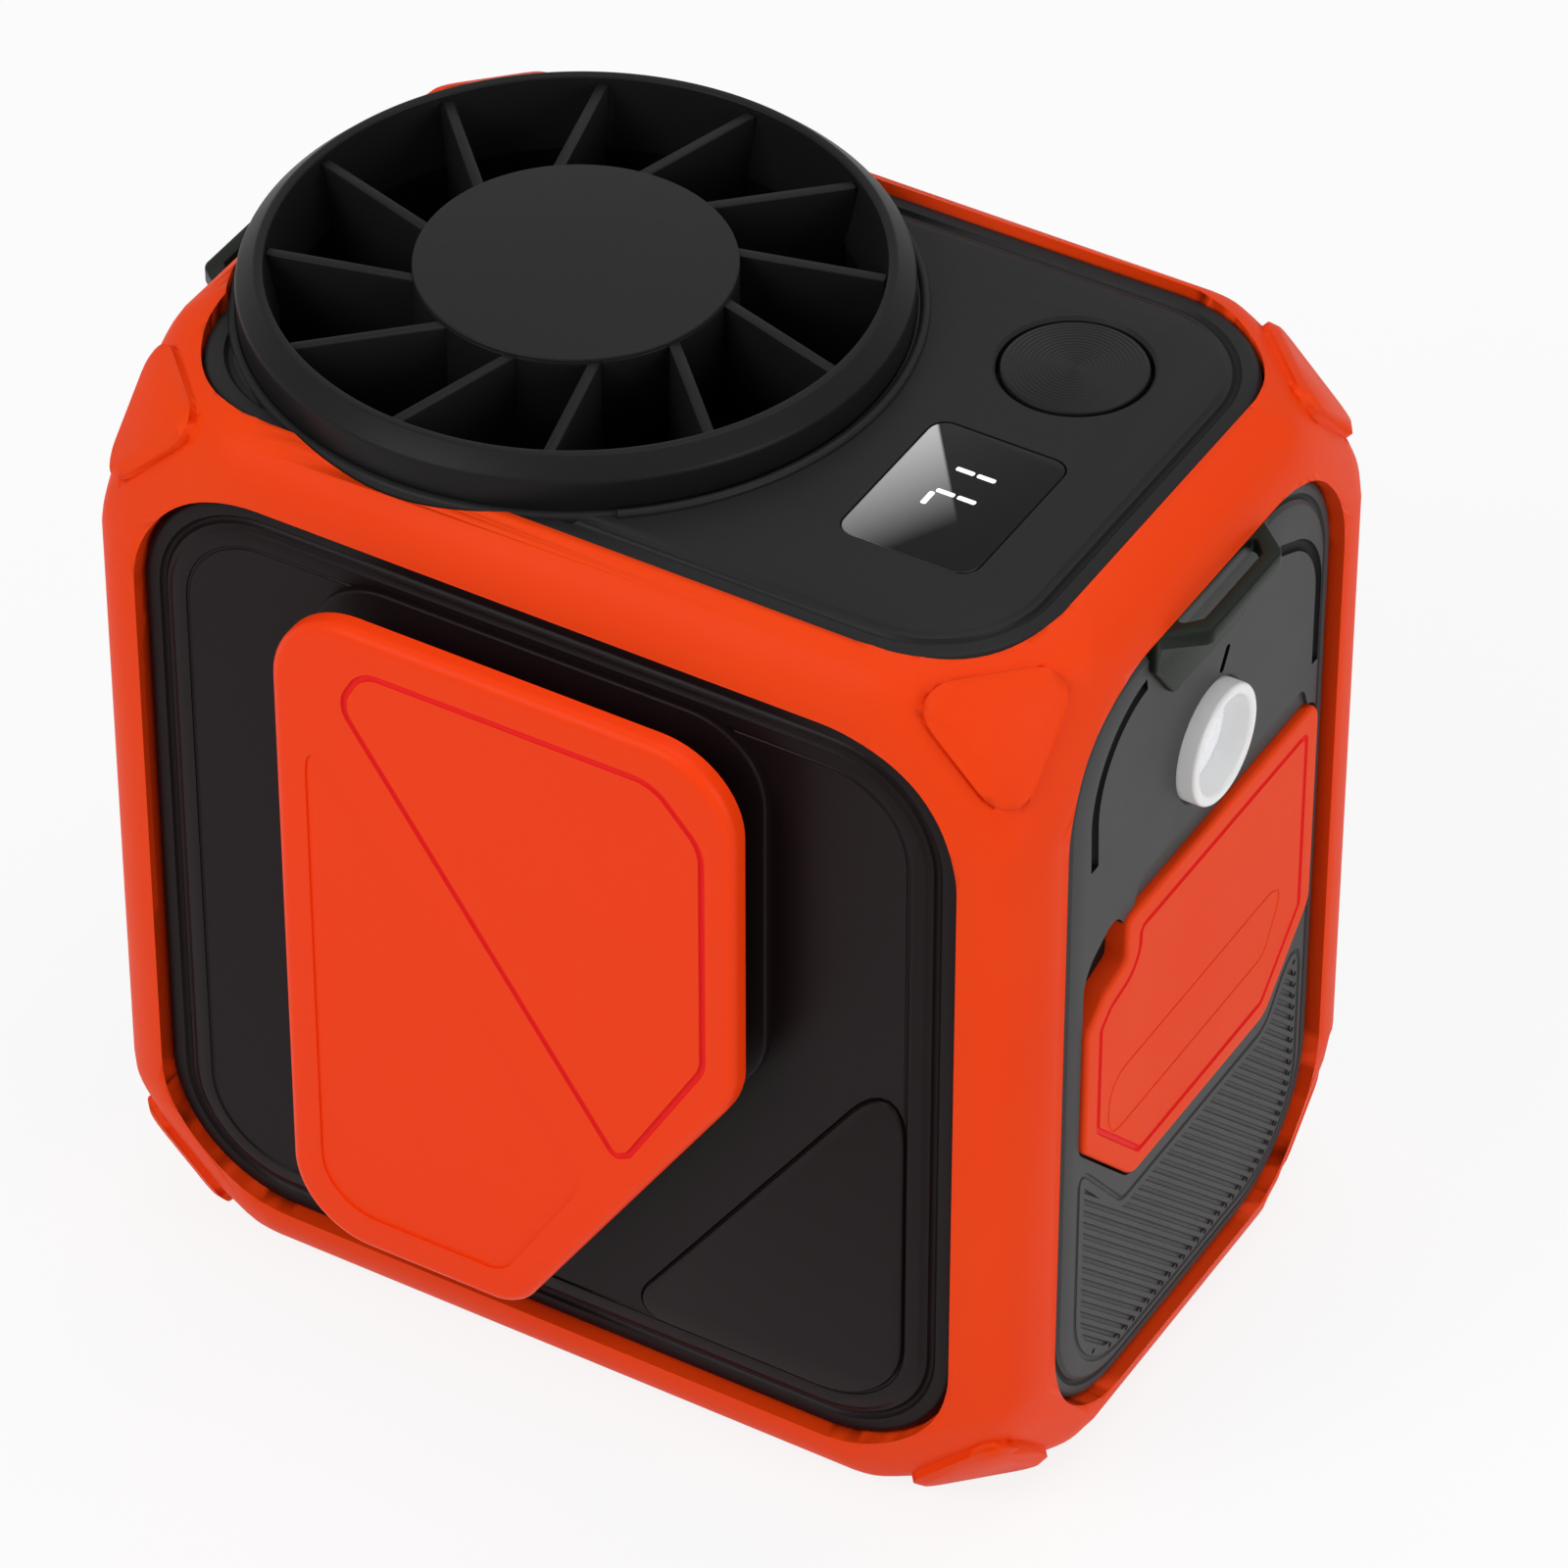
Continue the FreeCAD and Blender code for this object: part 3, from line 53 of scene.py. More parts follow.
# Body block and its windows
BODY_WIDTH = 100.0
BODY_DEPTH = 69.0
BODY_HEIGHT = 100.5
HALF_WIDTH = BODY_WIDTH / 2
HALF_DEPTH = BODY_DEPTH / 2
HALF_HEIGHT = BODY_HEIGHT / 2
CAGE_WALL = 3.2
SHELL_TOP = BODY_HEIGHT - CAGE_WALL
EDGE_ROUND = 7.0
CORNER_FACET = 17.0
FACET_SOFTNESS = 0.8
HOLLOW_FACET = 8.9
PAD_REACH = 9.8
PAD_ROUND = 3.0
PAD_BORDER = 0.9
PAD_RISE = 0.5
WINDOW_ROUND = 14.0
WINDOW_RIMS = {"top": (5.6, 4.4), "bottom": (5.6, 4.4), "front": (6.6, 7.2), "back": (6.6, 7.2),
               "right": (8.4, 6.3), "left": (8.4, 6.3)}
PANEL_GAP = 0.15
PANEL_LEVEL = -1.2
PANEL_ROUND = 0.9
FURROW_DEPTH = 0.45
FIELD_LEVEL = -0.9
CUT_LIFT = 0.03

# Base plate's screw holes: how far out they are and their profile (radius, level, rounding)
BASE_SCREW_PLACE = (36.0, 22.0)
BASE_SCREW_HOLE = [(0, -4, 0), (1.3, -4, 0), (1.3, -2.0, 0), (2.2, -2.0, 0), (2.2, -0.3, 0), (2.8, 0.3, 0),
                   (2.8, 1, 0), (0, 1, 0)]

# Air intake in the back panel, in face coordinates of the back
INTAKE_PLACE = (12.0, -6.75)
INTAKE_HALF = (24.0, 16.5)
INTAKE_ROUND = 5.0
SLOT_PITCH = 4.2
SLOT_HALF = 1.1

# Outlet
FAN_X = -16.6
LIP_TOP = 104.6
COLLAR_FOOT = 32.0
COLLAR_WALL = 31.2
COLLAR_LIP = 29.2
THROAT = 28.5
DUCT_MOUTH = 27.2
HUB = 15.0
HUB_WALL = 1.4
HUB_FLOOR = 89.3
HUB_FLOOR_TOP = 90.9
TUBE_BORE = 4.03
TUBE_RADIUS = 5.2
TUBE_FOOT = 73.6
TUBE_TOP = 93.9
VANE_COUNT = 12
VANE_THICKNESS = 1.1
VANE_DEPTH = 13.0
VANE_DROP = 0.7
VANE_TOP = LIP_TOP - VANE_DROP
VANE_SWEEP = 6.1
VANE_START = 8.0

# Key and display on the top
BUTTON_PLACE = (27.5, 14.7)
BUTTON_RADIUS = 6.9
BUTTON_HOLE = 7.3
STEM_RADIUS = 2.0
STEM_LOW = -4.9
DISPLAY_PLACE = (27.55, -7.65)
DISPLAY_HALF = (6.95, 9.35)

# Belt clip, in face coordinates of the front
CLIP_CORNERS = [(-24.4, -36.0, 8.5), (0.5, -36.0, 4.5), (24.3, 0.7, 8.5), (24.3, 39.2, 8.5),
                (-24.4, 39.2, 8.5)]
CLIP_UPPER_LINE = [(-16.9, 30.5, 3.0), (11.6, -11.3, 0.8), (13.1, -10.5, 0.6), (21.1, 3.5, 3.5),
                   (21.1, 29.5, 4.0), (16.1, 35.0, 4.0), (-14.4, 35.0, 3.0)]
CLIP_LOWER_FIELD = [(-20.9, 26.0, 1.6), (-20.9, -31.8, 6.0), (-0.9, -31.8, 3.0), (8.3, -16.3, 3.0)]
BELT_GAP = 4.2
CLIP_FACE = 6.5
PIVOT_UP = 27.0
PIVOT_OUT = BELT_GAP / 2
EAR_RADIUS = 1.75
EAR_LIMITS = (5.9, 8.9)
LUG_LIMITS = (9.2, 12.2)

# Torch and port flap, in face coordinates of the right side
TORCH_PLACE = (2.0, 23.5)
TORCH_RADIUS = 6.0
TORCH_BORE = 4.9
FLAP_CORNERS = [(-20.7, -9.4, 2.0), (-11.0, -19.6, 2.5), (15.0, -19.6, 3.0), (23.5, -11.0, 3.0),
                (23.5, 13.3, 2.0), (-13.5, 13.3, 1.2), (-13.5, 8.6, 1.0), (-17.5, 7.6, 1.2), (-20.7, 5.0, 1.2)]
FLAP_BAND = [(-16.2, -11.2, 2.5), (14.0, -11.2, 2.0), (18.0, -4.2, 2.0), (-16.2, -4.2, 3.0)]
LEDGE_CORNERS = [(-12.4, 12.2, 1.0), (22.4, 12.2, 1.0), (20.9, 16.2, 1.5), (-10.4, 16.2, 1.5)]
RECESS_CORNERS = [(-20.9, 3.4, 1.0), (-13.3, 3.4, 0.5), (-13.3, 12.6, 1.0), (-15.0, 15.2, 2.0),
                  (-20.9, 12.0, 4.0)]
MARK_CORNERS = [(3.4, 30.2, 0.35), (4.2, 29.8, 0.35), (5.6, 32.2, 0.35), (4.8, 32.6, 0.35)]
FLAP_BACK = -3.0
FLAP_FACE = -0.4
PORT_LEVEL = -1.0
PORT_PLUGS = [(8.0, 5.7, 2.05), (-9.5, 3.6, 0.75)]
RIB_CORNERS = [(-20.7, -11.6, 1.0), (-12.1, -22.0, 2.0), (16.0, -22.0, 3.0), (22.7, -13.6, 2.0),
               (22.7, -40.6, 10.0), (-20.7, -40.6, 10.0)]
RIB_PITCH = 1.0
RIB_START = -30.3
RIB_RANGE = (-62, 14)

# Strap loops, in millimetres from the body's middle, with the seat in face coordinates of its side
LOOP_LOW = HALF_HEIGHT + 42.2
LOOP_THICKNESS = 1.7
LOOP_CORNERS = [(48.9, -10.4, 0), (53.4, -6.6, 1.2), (53.4, 6.6, 1.2), (48.9, 10.4, 0)]
LOOP_HOLE = [(49.9, -7.8, 0.6), (51.9, -5.4, 0.6), (51.9, 5.4, 0.6), (49.9, 7.8, 0.6)]
LOOP_SEAT = [(-10.4, 43.9, 0.5), (-10.4, 40.2, 1.0), (-6.6, 35.2, 1.0), (6.6, 35.2, 1.0), (10.4, 40.2, 1.0),
             (10.4, 43.9, 0.5)]

# Camera fitted to the photograph: its frame is 1600 x 1600 pixels
CAMERA_YAW = math.radians(30.467)
CAMERA_PITCH = math.radians(39.865)
CAMERA_ROLL = math.radians(0.057)
CAMERA_DISTANCE = 842.08
CAMERA_SHIFT = (4.747, -0.909)
FOCAL_PIXELS = 9097.5
FRAME_PIXELS = 1600
SENSOR_WIDTH = 36.0

# Floor, surroundings and lamps: name, place in metres, size in metres and power in watts
FLOOR_SIZE = 4.0
FLOOR_GLOW = 0.85
WORLD_LIGHT = 0.42
LAMPS = [("key_lamp", (-0.35, -0.85, 0.75), 0.6, 5.6),
         ("top_lamp", (0.1, 0.25, 1.1), 0.8, 3.8),
         ("side_lamp", (0.95, -0.15, 0.4), 0.5, 3.2)]

# Gloss of the matt plastics and the rubber
SOFT_GLOSS = 0.1


class FanSizes(bpy.types.PropertyGroup):
    """Sizes of the finish that a user may change."""
    rim_round: FloatProperty(
        name="Rim rounding", description="Rounding of the cage's rims and pads",
        default=0.45 * MM, min=0.05 * MM, unit="LENGTH")
    clip_round: FloatProperty(
        name="Clip rounding", description="Rounding of the belt clip's face edge",
        default=1.2 * MM, min=0.2 * MM, max=2.0 * MM, unit="LENGTH")
    groove_width: FloatProperty(
        name="Groove width", description="Width of the lines in the clip and the flap",
        default=0.7 * MM, unit="LENGTH")
    grain_size: FloatProperty(
        name="Grain size", description="Size of the moulded grain", default=0.22 * MM, unit="LENGTH")


class FanColours(bpy.types.PropertyGroup):
    """Colours of the finish that a user may change."""
    rubber: FloatVectorProperty(
        name="Rubber", description="Colour of the cage and the flap", subtype="COLOR",
        size=3, default=(0.82, 0.056, 0.003), min=0.0, max=1.0)
    clip: FloatVectorProperty(
        name="Clip", description="Colour of the belt clip", subtype="COLOR",
        size=3, default=(0.89, 0.048, 0.003), min=0.0, max=1.0)
    front: FloatVectorProperty(
        name="Front panel", description="Colour of the front and back panels", subtype="COLOR",
        size=3, default=(0.0092, 0.0045, 0.0052), min=0.0, max=1.0)
    top: FloatVectorProperty(
        name="Top panel", description="Colour of the top panel and the outlet", subtype="COLOR",
        size=3, default=(0.0155, 0.0155, 0.016), min=0.0, max=1.0)
    outlet: FloatVectorProperty(
        name="Outlet", description="Colour of the outlet's collar and vanes", subtype="COLOR",
        size=3, default=(0.009, 0.009, 0.0095), min=0.0, max=1.0)
    side: FloatVectorProperty(
        name="Side panels", description="Colour of the side panels", subtype="COLOR",
        size=3, default=(0.054, 0.054, 0.0555), min=0.0, max=1.0)


# Shader helpers

class Value:
    """A shader socket that can be used in Python sums."""

    def __init__(self, shader, socket):
        self.shader = shader
        self.socket = socket

    def maths(self, operation, *others):
        return self.shader.node("ShaderNodeMath", {"operation": operation}, self, *others)

    def __add__(self, other):
        return self.maths("ADD", other)

    def __sub__(self, other):
        return self.maths("SUBTRACT", other)

    def __rsub__(self, other):
        return self.shader.node("ShaderNodeMath", {"operation": "SUBTRACT"}, other, self)

    def __mul__(self, other):
        return self.maths("MULTIPLY", other)

    __radd__ = __add__
    __rmul__ = __mul__


class Shader:
    """Node tree of a material or of the world, filled by Python calls."""

    def __init__(self, owner):
        owner.use_nodes = True
        self.owner = owner
        self.tree = owner.node_tree

    def node(self, kind, settings, *values, output=0, **named):
        """Add a node, set it up, feed its sockets by order or by name and return one output."""
        made = self.tree.nodes.new(kind)
        for key, setting in settings.items():
            setattr(made, key, setting)
        for key, value in list(enumerate(values)) + list(named.items()):
            name = key if isinstance(key, int) else key.replace("_", " ")
            self.feed(made.inputs[name], value)
        return Value(self, made.outputs[output])

    def feed(self, socket, value):
        """Link or set one socket."""
        if isinstance(value, Value):
            self.tree.links.new(value.socket, socket)
        else:
            socket.default_value = value

    def set(self, **named):
        """Feed sockets of the surface shader."""
        surface = self.tree.nodes["Principled BSDF"]
        for key, value in named.items():
            self.feed(surface.inputs[key.replace("_", " ")], value)

    def place(self, offset=(0.0, 0.0, 0.0)):
        """Object coordinates, moved by an offset in metres."""
        coordinates = self.node("ShaderNodeTexCoord", {}, output=3)
        return self.node("ShaderNodeMapping", {}, Vector=coordinates, Location=offset)

    def noise(self, size, detail=2.0, roughness=0.5):
        """Noise over Object coordinates with a grain of about the given size in metres."""
        return self.node("ShaderNodeTexNoise", {}, Vector=self.place(), Scale=1.0 / size,
                         Detail=detail, Roughness=roughness)

    def mix(self, factor, first, second):
        """Mix two colours."""
        mixer = self.tree.nodes.new("ShaderNodeMix")
        mixer.data_type = "RGBA"
        for index, value in ((0, factor), (6, first), (7, second)):
            self.feed(mixer.inputs[index], value)
        return Value(self, mixer.outputs[2])

    def split(self, vector):
        """The first two numbers of a vector."""
        return [self.node("ShaderNodeSeparateXYZ", {}, vector, output=axis) for axis in (0, 1)]

    def bump(self, height, distance):
        """Bump from a height, with its depth in metres."""
        return self.node("ShaderNodeBump", {}, Height=height, Distance=distance)

    def background_rays(self):
        """One for the rays that see, mirror or look through to the background, zero for the rays that light."""
        seen, mirrored, passed = [self.node("ShaderNodeLightPath", {}, output=f"Is {ray} Ray")
                                  for ray in ("Camera", "Glossy", "Transmission")]
        return seen.maths("MAXIMUM", mirrored).maths("MAXIMUM", passed)


def shade(colour, factor):
    """A colour made lighter or darker."""
    return (*[min(channel * factor, 1.0) for channel in colour], 1.0)


def moulded(name, colour, roughness, grain, depth=0.02 * MM, variation=0.06):
    """Moulded plastic or rubber: fine grain, faint colour drift and handling marks in the gloss."""
    shader = Shader(bpy.data.materials.new(name))
    drift = shader.noise(18 * MM, 3.0)
    smudge = shader.noise(6 * MM, 4.0, 0.6)
    fine = shader.noise(grain, 3.0, 0.6)
    shader.set(Base_Color=shader.mix(drift, shade(colour, 1 - variation), shade(colour, 1 + variation)),
               Roughness=smudge * 0.1 + (roughness - 0.05),
               Normal=shader.bump(fine, depth), Specular_IOR_Level=SOFT_GLOSS)
    return shader.owner


def rubber(name, colour, grain):
    """Soft matt rubber with a silky sheen and a slightly redder tone in its drift."""
    shader = Shader(bpy.data.materials.new(name))
    drift = shader.noise(25 * MM, 2.0)
    smudge = shader.noise(9 * MM, 4.0, 0.6)
    fine = shader.noise(grain, 3.0, 0.65)
    warm = (colour[0], colour[1] * 0.82, colour[2], 1.0)
    shader.set(Base_Color=shader.mix(drift, warm, shade(colour, 1.03)),
               Roughness=smudge * 0.12 + 0.46,
               Normal=shader.bump(fine, 0.015 * MM), Specular_IOR_Level=SOFT_GLOSS)
    return shader.owner


def metal(name, colour, roughness):
    """Bare metal with fine drawn lines along X."""
    shader = Shader(bpy.data.materials.new(name))
    stretched = shader.node("ShaderNodeMapping", {}, Vector=shader.place(), Scale=(60.0, 1500.0, 1500.0))
    lines = shader.node("ShaderNodeTexNoise", {}, Vector=stretched, Scale=1.0, Detail=3.0)
    shader.set(Base_Color=shader.mix(lines, shade(colour, 0.86), shade(colour, 1.1)),
               Metallic=1.0, Roughness=lines * 0.16 + roughness,
               Normal=shader.bump(lines, 0.004 * MM))
    return shader.owner


def clear_plastic(name):
    """Clear lens plastic, lit from behind."""
    shader = Shader(bpy.data.materials.new(name))
    ripple = shader.noise(1.2 * MM, 1.0)
    shader.set(Base_Color=(0.95, 0.97, 1.0, 1.0), Roughness=ripple * 0.05 + 0.03, Alpha=0.4,
               Emission_Color=(1.0, 1.0, 1.0, 1.0), Emission_Strength=0.25,
               Normal=shader.bump(ripple, 0.01 * MM))
    return shader.owner


def glowing(name, colour, strength):
    """Lit white plastic."""
    shader = Shader(bpy.data.materials.new(name))
    cloud = shader.noise(1.5 * MM, 2.0)
    shader.set(Base_Color=shader.mix(cloud, shade(colour, 0.96), shade(colour, 1.0)), Roughness=0.3,
               Emission_Color=(1.0, 1.0, 1.0, 1.0), Emission_Strength=strength)
    return shader.owner


def circuit_board(name):
    """Green solder mask with paler tracks."""
    shader = Shader(bpy.data.materials.new(name))
    brick = shader.node("ShaderNodeTexBrick", {}, Vector=shader.place(), Scale=420.0, Mortar_Size=0.012,
                        output=1)
    shader.set(Base_Color=shader.mix(brick, (0.01, 0.09, 0.035, 1.0), (0.03, 0.2, 0.09, 1.0)),
               Roughness=brick * 0.1 + 0.3)
    return shader.owner


def turned_key(name, colour):
    """Spun key: fine rings about its centre as bumps, and a painted sheen, a faint fan of light and dark in its
    colour standing in for light on a spun face.
    """
    shader = Shader(bpy.data.materials.new(name))
    across, up = shader.split(shader.place((-BUTTON_PLACE[0] * MM, -BUTTON_PLACE[1] * MM, 0.0)))
    radius = (across * across + up * up).maths("SQRT")
    rings = (radius * (math.tau / (0.42 * MM))).maths("SINE")
    angle = up.maths("ARCTAN2", across)
    # Painted sheen: the fan of lighter and darker colour stands in for the spun face's reflection
    fan = (angle * 2.0 + 0.9).maths("SINE")
    painted_sheen = fan * 0.5 + 0.5
    shader.set(Base_Color=shader.mix(painted_sheen, shade(colour, 0.72), shade(colour, 1.25)),
               Metallic=0.2, Roughness=painted_sheen * -0.12 + 0.42, Specular_IOR_Level=SOFT_GLOSS,
               Normal=shader.bump(rings, 0.012 * MM))
    return shader.owner


def display_glass(name):
    """Black glass with a pale window reflection across its lower left half."""
    shader = Shader(bpy.data.materials.new(name))
    left = DISPLAY_PLACE[0] - DISPLAY_HALF[0]
    back = DISPLAY_PLACE[1] + DISPLAY_HALF[1]
    along, down = shader.split(shader.place((-left * MM, -back * MM, 0.0)))
    along = along * (1 / (2 * DISPLAY_HALF[0] * MM))
    down = down * (-1 / (2 * DISPLAY_HALF[1] * MM))
    inside = (down - along) * 40.0
    edge = inside.maths("MAXIMUM", 0.0).maths("MINIMUM", 1.0)
    fade = (1.0 - (along * 0.9 + down * 0.62)).maths("MAXIMUM", 0.0)
    glow = edge * fade.maths("POWER", 1.1) * 0.62
    shader.set(Base_Color=shader.mix(glow, (0.006, 0.006, 0.007, 1.0), (1.0, 1.0, 1.0, 1.0)),
               Roughness=glow * 0.1 + 0.07, Specular_IOR_Level=0.13)
    return shader.owner


def cell_sleeve(name):
    """Blue shrink sleeve of the cells."""
    shader = Shader(bpy.data.materials.new(name))
    band = shader.noise(8 * MM, 1.0)
    shader.set(Base_Color=shader.mix(band, (0.02, 0.09, 0.3, 1.0), (0.04, 0.16, 0.42, 1.0)), Roughness=0.28)
    return shader.owner


def make_materials():
    """Every finish of the fan, by name."""
    sizes = bpy.context.scene.fan_sizes
    tint = bpy.context.scene.fan_colours
    grain = sizes.grain_size
    return {
        "orange_rubber": rubber("orange_rubber", tint.rubber, grain),
        # groove_painted_shade: painted shade, a deeper red put on the faces of the clip's and the flap's
        # grooves where bounced light makes them redder
        "groove_painted_shade": moulded("groove_painted_shade", (0.82, 0.014, 0.012), 0.5, grain, 0.006 * MM, 0.02),
        "orange_plastic": moulded("orange_plastic", tint.clip, 0.4, grain, 0.008 * MM, 0.02),
        "front_plastic": moulded("front_plastic", tint.front, 0.36, grain, 0.012 * MM),
        "black_plastic": moulded("black_plastic", tint.front, 0.42, grain),
        "grey_plastic": moulded("grey_plastic", tint.top, 0.42, grain),
        "outlet_plastic": moulded("outlet_plastic", tint.outlet, 0.4, grain),
        "side_plastic": moulded("side_plastic", tint.side, 0.45, grain),
        # deep_black: also painted as shade into the right panel's finger recess and contour grooves
        "deep_black": moulded("deep_black", (0.004, 0.004, 0.004), 0.55, grain),
        "strap_plastic": moulded("strap_plastic", (0.008, 0.012, 0.008), 0.4, grain),
        "net_black": moulded("net_black", (0.01, 0.01, 0.01), 0.7, 0.4 * MM, 0.05 * MM),
        "key_metal": turned_key("key_metal", (0.015, 0.015, 0.016)),
        "display_glass": display_glass("display_glass"),
        "digit_white": glowing("digit_white", (0.95, 0.95, 0.95), 0.6),
        # white_plastic: white plastic with a faint emission, a painted glow on the torch's ring
        "white_plastic": glowing("white_plastic", (0.82, 0.82, 0.82), 0.04),
        "clear_lens": clear_plastic("clear_lens"),
        "mirror_finish": metal("mirror_finish", (0.85, 0.85, 0.86), 0.06),
        "steel": metal("steel", (0.55, 0.55, 0.56), 0.25),
        "magnet_steel": metal("magnet_steel", (0.12, 0.12, 0.13), 0.4),
        "winding_steel": metal("winding_steel", (0.4, 0.3, 0.22), 0.35),
        "board_green": circuit_board("board_green"),
        "cell_wrap": cell_sleeve("cell_wrap"),
    }


MATERIALS = {}


def finish(name):
    """A finish by name; all are made on first use."""
    if not MATERIALS:
        MATERIALS.update(make_materials())
    return MATERIALS[name]


# Shape helpers: everything is drawn in millimetres in the face coordinates of one side

SIDE_AXES = {
    "top": ((1, 0, 0), (0, 1, 0), (0, 0, 1), (0, 0, BODY_HEIGHT)),
    "bottom": ((1, 0, 0), (0, -1, 0), (0, 0, -1), (0, 0, 0)),
    "front": ((1, 0, 0), (0, 0, 1), (0, -1, 0), (0, -HALF_DEPTH, HALF_HEIGHT)),
    "back": ((-1, 0, 0), (0, 0, 1), (0, 1, 0), (0, HALF_DEPTH, HALF_HEIGHT)),
    "right": ((0, 1, 0), (0, 0, 1), (1, 0, 0), (HALF_WIDTH, 0, HALF_HEIGHT)),
    "left": ((0, -1, 0), (0, 0, 1), (-1, 0, 0), (-HALF_WIDTH, 0, HALF_HEIGHT)),
    "body": ((1, 0, 0), (0, 1, 0), (0, 0, 1), (0, 0, 0)),
}


def side_matrix(side):
    """Carries millimetres in face coordinates (across, up, out) to metres on that side of the body."""
    across, up, out, origin = (Vector(axis) for axis in SIDE_AXES[side])
    turn = Matrix((across, up, out)).transposed().to_4x4()
    return Matrix.Scale(MM, 4) @ Matrix.Translation(origin) @ turn


def arc_segments(radius):
    """How many straight pieces a rounded corner gets."""
    return max(4, min(20, math.ceil(radius * 1.4) + 3))


def outline_face(bm, corners, level=0.0):
    """Face through corners (x, y, radius), each corner bevelled to its radius; bm holds nothing else."""
    verts = [bm.verts.new((x, y, level)) for x, y, radius in corners]
    bm.faces.new(verts)
    count = len(corners)
    for index, (x, y, radius) in enumerate(corners):
        if radius > 0:
            here = Vector((x, y))
            before = (Vector(corners[index - 1][:2]) - here).normalized()
            after = (Vector(corners[(index + 1) % count][:2]) - here).normalized()
            reach = radius / math.tan(before.angle(after) / 2)
            bmesh.ops.bevel(bm, geom=[verts[index]], offset=reach, segments=arc_segments(radius),
                            profile=0.5, material=-1, affect="VERTICES", clamp_overlap=False)
    bmesh.ops.recalc_face_normals(bm, faces=bm.faces)
    bm.faces.ensure_lookup_table()
    face = bm.faces[0]
    face.normal_update()
    if face.normal.z < 0:
        face.normal_flip()
    return face


def quarter_round(radius, segments=5):
    """Steps (inset, rise) that turn a wall into a flat over a rounded edge."""
    steps = []
    for index in range(segments):
        low = math.pi / 2 * index / segments
        high = math.pi / 2 * (index + 1) / segments
        steps.append((radius * (math.cos(low) - math.cos(high)), radius * (math.sin(high) - math.sin(low))))
    return steps


def dip(width, depth, segments=6):
    """Steps (inset, rise) of a smooth groove across a flat."""
    levels = [-depth * math.sin(math.pi * index / segments) for index in range(segments + 1)]
    return [(width / segments, levels[index + 1] - levels[index]) for index in range(segments)]


def raise_face(bm, face, steps):
    """Carry a face through steps (inset, rise), so that its edge follows a profile."""
    for inset, rise in steps:
        bmesh.ops.inset_region(bm, faces=[face], thickness=inset, depth=rise, use_even_offset=True,
                               use_boundary=True)


def new_object(name, bm):
    """Object with its mesh from a bmesh, its doubles merged and its faces turned outwards."""
    bmesh.ops.remove_doubles(bm, verts=bm.verts, dist=1e-4)
    bmesh.ops.recalc_face_normals(bm, faces=bm.faces)
    mesh = bpy.data.meshes.new(name)
    bm.to_mesh(mesh)
    bm.free()
    piece = bpy.data.objects.new(name, mesh)
    bpy.context.scene.collection.objects.link(piece)
    return piece


def plate(name, corners, low, high, steps=()):
    """Solid over an outline from one level to another, then up through profile steps."""
    bm = bmesh.new()
    outline_face(bm, corners, low)
    face = bmesh.ops.extrude_face_region(bm, geom=bm.faces[:])
    top = [item for item in face["geom"] if isinstance(item, bmesh.types.BMFace)][0]
    bmesh.ops.translate(bm, verts=top.verts[:], vec=(0, 0, high - low))
    top.normal_update()
    raise_face(bm, top, steps)
    return new_object(name, bm)


def turned(name, corners, x=0.0, y=0.0, steps=128):
    """Turned solid about an axis along out at (x, y), from profile corners (radius, level, rounding)."""
    bm = bmesh.new()
    outline_face(bm, corners)
    bmesh.ops.delete(bm, geom=bm.faces[:], context="FACES_ONLY")
    on_axis = [edge for edge in bm.edges if all(abs(vert.co.x) < 1e-6 for vert in edge.verts)]
    bmesh.ops.delete(bm, geom=on_axis, context="EDGES")
    bmesh.ops.rotate(bm, verts=bm.verts, cent=(0, 0, 0), matrix=Matrix.Rotation(math.pi / 2, 3, "X"))
    bmesh.ops.spin(bm, geom=bm.verts[:] + bm.edges[:], cent=(0, 0, 0), axis=(0, 0, 1), angle=math.tau,
                   steps=steps, use_merge=True)
    bmesh.ops.translate(bm, verts=bm.verts, vec=(x, y, 0))
    return new_object(name, bm)


def bar(name, x, y, z, softness=0.0):
    """Box between two limits on each axis with softened edges."""
    bm = bmesh.new()
    bmesh.ops.create_cube(bm, size=1.0)
    bmesh.ops.scale(bm, verts=bm.verts, vec=(x[1] - x[0], y[1] - y[0], z[1] - z[0]))
    bmesh.ops.translate(bm, verts=bm.verts, vec=((x[0] + x[1]) / 2, (y[0] + y[1]) / 2, (z[0] + z[1]) / 2))
    if softness:
        bmesh.ops.bevel(bm, geom=bm.edges[:], offset=softness, segments=3, profile=0.5, material=-1,
                        affect="EDGES")
    return new_object(name, bm)


def bead(name, points, radius, closed):
    """Round wire along points (x, y, z); as a cutter it leaves a half-round groove."""
    curve = bpy.data.curves.new(name, "CURVE")
    curve.dimensions = "3D"
    curve.bevel_depth = radius
    curve.bevel_resolution = 3
    curve.use_fill_caps = not closed
    spline = curve.splines.new("POLY")
    spline.points.add(len(points) - 1)
    for point, place in zip(spline.points, points):
        point.co = (*place, 1.0)
    spline.use_cyclic_u = closed
    holder = bpy.data.objects.new(name, curve)
    bpy.context.scene.collection.objects.link(holder)
    graph = bpy.context.evaluated_depsgraph_get()
    mesh = bpy.data.meshes.new_from_object(holder.evaluated_get(graph))
    bpy.data.objects.remove(holder)
    bm = bmesh.new()
    bm.from_mesh(mesh)
    return new_object(name, bm)


